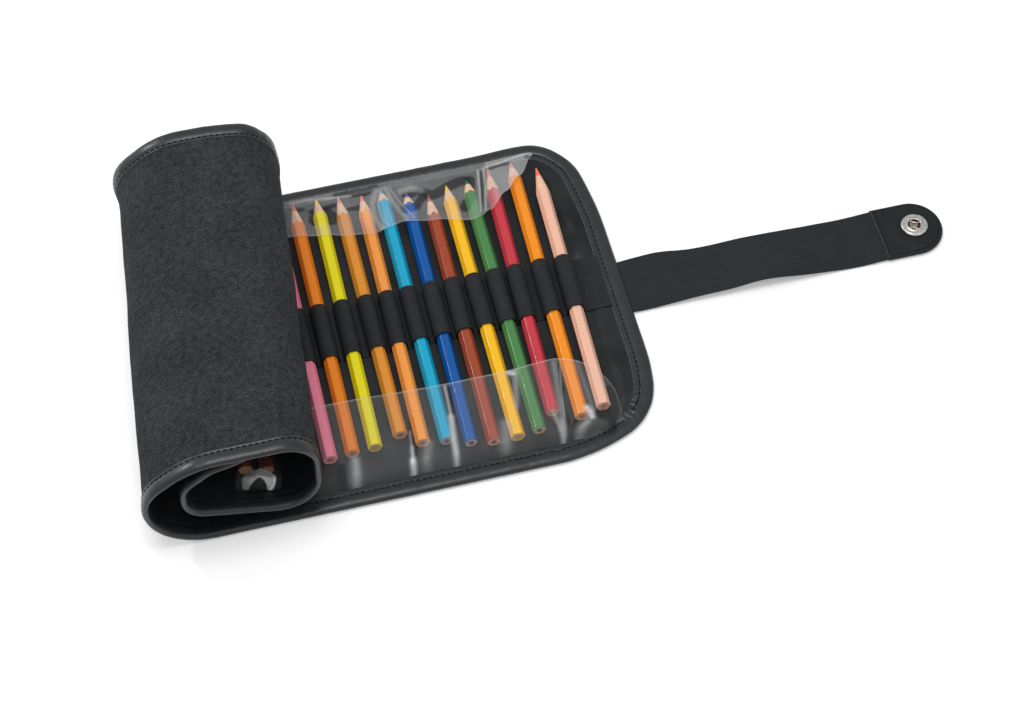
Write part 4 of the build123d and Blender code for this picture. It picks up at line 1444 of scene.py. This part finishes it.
# The well's copper tone is darkened to near black as painted shade in the socket's hole.
well_finish = aged_metal("copper with painted shade", linear(112, 62, 38), linear(34, 24, 20), 0.35, 0.9)
wire_finish = aged_metal("bright spring wire", linear(240, 234, 224), linear(196, 178, 160), 0.14)
for name in ("snap_cap", "snap_stud", "stud_eyelet"):
    coat_node(name, nickel_finish)

SNAP_Z, WIRE_Z, WIRE_RADIUS = TAB_Z + TAB_RISE, 1.0, 0.36
RING_SECTION = [(3.6, 0.9), (3.55, 1.7), (3.75, 2.05), (4.1, 2.12), (4.5, 1.95), (5.0, 1.8)]
RING_SECTION += [(6.0, 1.78), (6.6, 1.85), (7.05, 1.72), (7.4, 1.35), (7.55, 0.8), (7.45, 0.3)]
RING_SECTION += [(7.1, 0.0), (3.7, 0.0)]
WELL_SECTION = [(0.0, 0.25), (3.1, 0.25), (3.45, 0.6), (3.55, 1.5), (3.8, 1.5), (3.8, 0.05)]
WELL_SECTION += [(0.0, 0.05)]


def turned_piece(name, section, finish, closed):
    """A piece turned about the snap's middle from its section, as (radius, height) in mm."""
    bm = bmesh.new()
    middle = Vector((SNAP_X, TAB_Y, SNAP_Z))
    verts = [bm.verts.new((middle + Vector((r, 0.0, z))) * MM) for r, z in section]
    edges = [bm.edges.new(pair) for pair in zip(verts, verts[1:])]
    if closed:
        edges.append(bm.edges.new((verts[-1], verts[0])))
    bmesh.ops.spin(
        bm,
        geom=verts + edges,
        cent=(SNAP_X * MM, TAB_Y * MM, 0.0),
        axis=(0.0, 0.0, 1.0),
        angle=2 * math.pi,
        steps=64,
        use_merge=True,
    )
    bmesh.ops.remove_doubles(bm, verts=bm.verts, dist=0.000002)
    bmesh.ops.recalc_face_normals(bm, faces=bm.faces)
    piece = new_piece(name, bm, [finish])
    piece.data.set_sharp_from_angle(angle=math.radians(50))
    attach(piece, "strap_outer")
    return piece


def spring_wires():
    """Two bowed wires across the well, turned a little from the strap's line."""
    bm = bmesh.new()
    turns = [index * math.pi / 5 for index in range(10)]
    slant = Matrix.Rotation(math.radians(-24), 3, "Z")
    for side in (-1, 1):
        spots = []
        for step in range(13):
            share = step / 6 - 1
            spot = slant @ Vector((share * 2.9, side * (1.95 + 0.35 * share * share), 0.0))
            spots.append(Vector((SNAP_X + spot.x, TAB_Y + spot.y, SNAP_Z + WIRE_Z)))
        rings = []
        for before, spot, after in zip([spots[0], *spots], spots, [*spots[1:], spots[-1]]):
            way = (after - before).normalized()
            out, up = Vector((-way.y, way.x, 0.0)), Vector((0.0, 0.0, 1.0))
            arms = [out * math.cos(turn) + up * math.sin(turn) for turn in turns]
            rings.append([bm.verts.new((spot + arm * WIRE_RADIUS) * MM) for arm in arms])
        for first, second in zip(rings, rings[1:]):
            for index in range(10):
                ahead = (index + 1) % 10
                bm.faces.new((first[index], first[ahead], second[ahead], second[index]))
        bmesh.ops.contextual_create(bm, geom=rings[0])
        bmesh.ops.contextual_create(bm, geom=rings[-1])
    bmesh.ops.recalc_face_normals(bm, faces=bm.faces)
    piece = new_piece("spring_wires", bm, [wire_finish])
    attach(piece, "strap_outer")
    return piece


ring = turned_piece("socket_ring", RING_SECTION, ring_finish, True)
well = turned_piece("socket_well", WELL_SECTION, well_finish, False)
wires = spring_wires()
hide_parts("snap_socket")
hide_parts("socket_spring")
print("snap", [len(piece.data.polygons) for piece in (ring, well, wires)])

# %% [markdown]
# ## Pencils inside the roll
# Only the butts of two hidden pencils can be seen, deep in the roll's front. They get a plain
# lacquer and bare wood, the wood a darker copy of the open pencils' wood as painted shade inside
# the roll.

# %% Hidden pencils


def hidden_wood():
    """Red-brown lacquer with bare points and butts for the pencils in the roll; the bare wood is
    darkened as painted shade.
    """
    finish = Finish("rolled pencil lacquer", Roughness=0.35)
    grain = finish.noise(finish.place(), 1.5, 3.0)
    nx, ny, _ = finish.split(finish.place("Normal"))
    slope = (nx * ROLL_SKEW + ny) * (1 / math.hypot(ROLL_SKEW, 1.0))
    bare = slope.math("ABSOLUTE").step(0.12, 0.16)
    paint = grain.mix(linear(84, 34, 26), linear(112, 52, 38))
    # Painted shade: this wood is a darker copy of the open pencils' wood, for their place inside
    # the roll.
    wood = grain.mix(linear(128, 88, 68), linear(176, 130, 102))
    return finish.feed(Base_Color=bare.mix(paint, wood))


coat_node("rolled_pencils", hidden_wood())
print("hidden pencils", len(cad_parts["rolled_pencils"].data.polygons), "faces")

# %% [markdown]
# ## Floor and light
# The case lies on white. A large soft lamp hangs overhead, a small one low behind and to the
# left draws the bright lines along the pencils' edges and the binding, and a fill from the front
# keeps the blacks open. The floor is white to the camera and in reflections, and still takes the
# case's soft shadow.

# %% Floor and lamps
FLOOR_GLOW, FLOOR_Z = 0.25, -0.1 * MM


def white_floor():
    """A wide pale floor that keeps the object's shadow."""
    bm = bmesh.new()
    bmesh.ops.create_grid(bm, x_segments=1, y_segments=1, size=6.0)
    finish = Finish("white floor", Roughness=0.9, Specular_IOR_Level=0.1)
    finish.shader.inputs["Base Color"].default_value = (0.86, 0.86, 0.86, 1.0)
    camera_ray = finish.node("ShaderNodeLightPath", out="Is Camera Ray")
    rays = camera_ray.socket.node.outputs
    glossy, passed = (Wire(finish, rays[f"Is {way} Ray"]) for way in ("Glossy", "Transmission"))
    seen = (camera_ray + glossy + passed).math("MINIMUM", 1.0)
    light = {"Color": (1.0, 1.0, 1.0, 1.0), "Strength": FLOOR_GLOW}
    glow = finish.node("ShaderNodeEmission", inputs=light)
    both = finish.node("ShaderNodeAddShader")
    adder = both.socket.node
    finish.tree.links.new(finish.shader.outputs[0], adder.inputs[0])
    finish.tree.links.new(glow.socket, adder.inputs[1])
    blend = finish.node("ShaderNodeMixShader", inputs={0: seen})
    mixer = blend.socket.node
    finish.tree.links.new(finish.shader.outputs[0], mixer.inputs[1])
    finish.tree.links.new(both.socket, mixer.inputs[2])
    finish.tree.links.new(blend.socket, finish.tree.nodes["Material Output"].inputs["Surface"])
    floor = new_piece("floor", bm, [finish.material], smooth=False)
    for vert in floor.data.vertices:
        vert.co.z = FLOOR_Z
    return floor


def soft_lamp(name, place, target, size, power):
    """A square area lamp turned towards its target."""
    lamp = bpy.data.objects.new(name, bpy.data.lights.new(name, "AREA"))
    lamp.data.shape = "SQUARE"
    lamp.data.size = size
    lamp.data.energy = power
    lamp.location = place
    way = Vector(target) - Vector(place)
    lamp.rotation_mode = "QUATERNION"
    lamp.rotation_quaternion = way.to_track_quat("-Z", "Y")
    bpy.context.scene.collection.objects.link(lamp)
    return lamp


def pale_world():
    """Even white light all round."""
    world = bpy.data.worlds.new("pale world")
    world.use_nodes = True
    shade = world.node_tree.nodes["Background"]
    shade.inputs["Color"].default_value = (1.0, 1.0, 1.0, 1.0)
    shade.inputs["Strength"].default_value = 0.56
    bpy.context.scene.world = world
    return world


floor = white_floor()
lamps = [
    soft_lamp("key", (-0.25, 0.0, 1.8), (-0.05, 0.0, 0.0), 0.8, 13.2),
    soft_lamp("edge", (-1.1, 0.95, 0.9), (-0.05, 0.0, 0.0), 0.24, 6.5),
    soft_lamp("fill", (0.9, -0.9, 1.3), (0.0, 0.0, 0.0), 1.2, 3.0),
]
pale_world()
bpy.context.scene.view_settings.view_transform = "Standard"
print("lamps", [lamp.name for lamp in lamps])
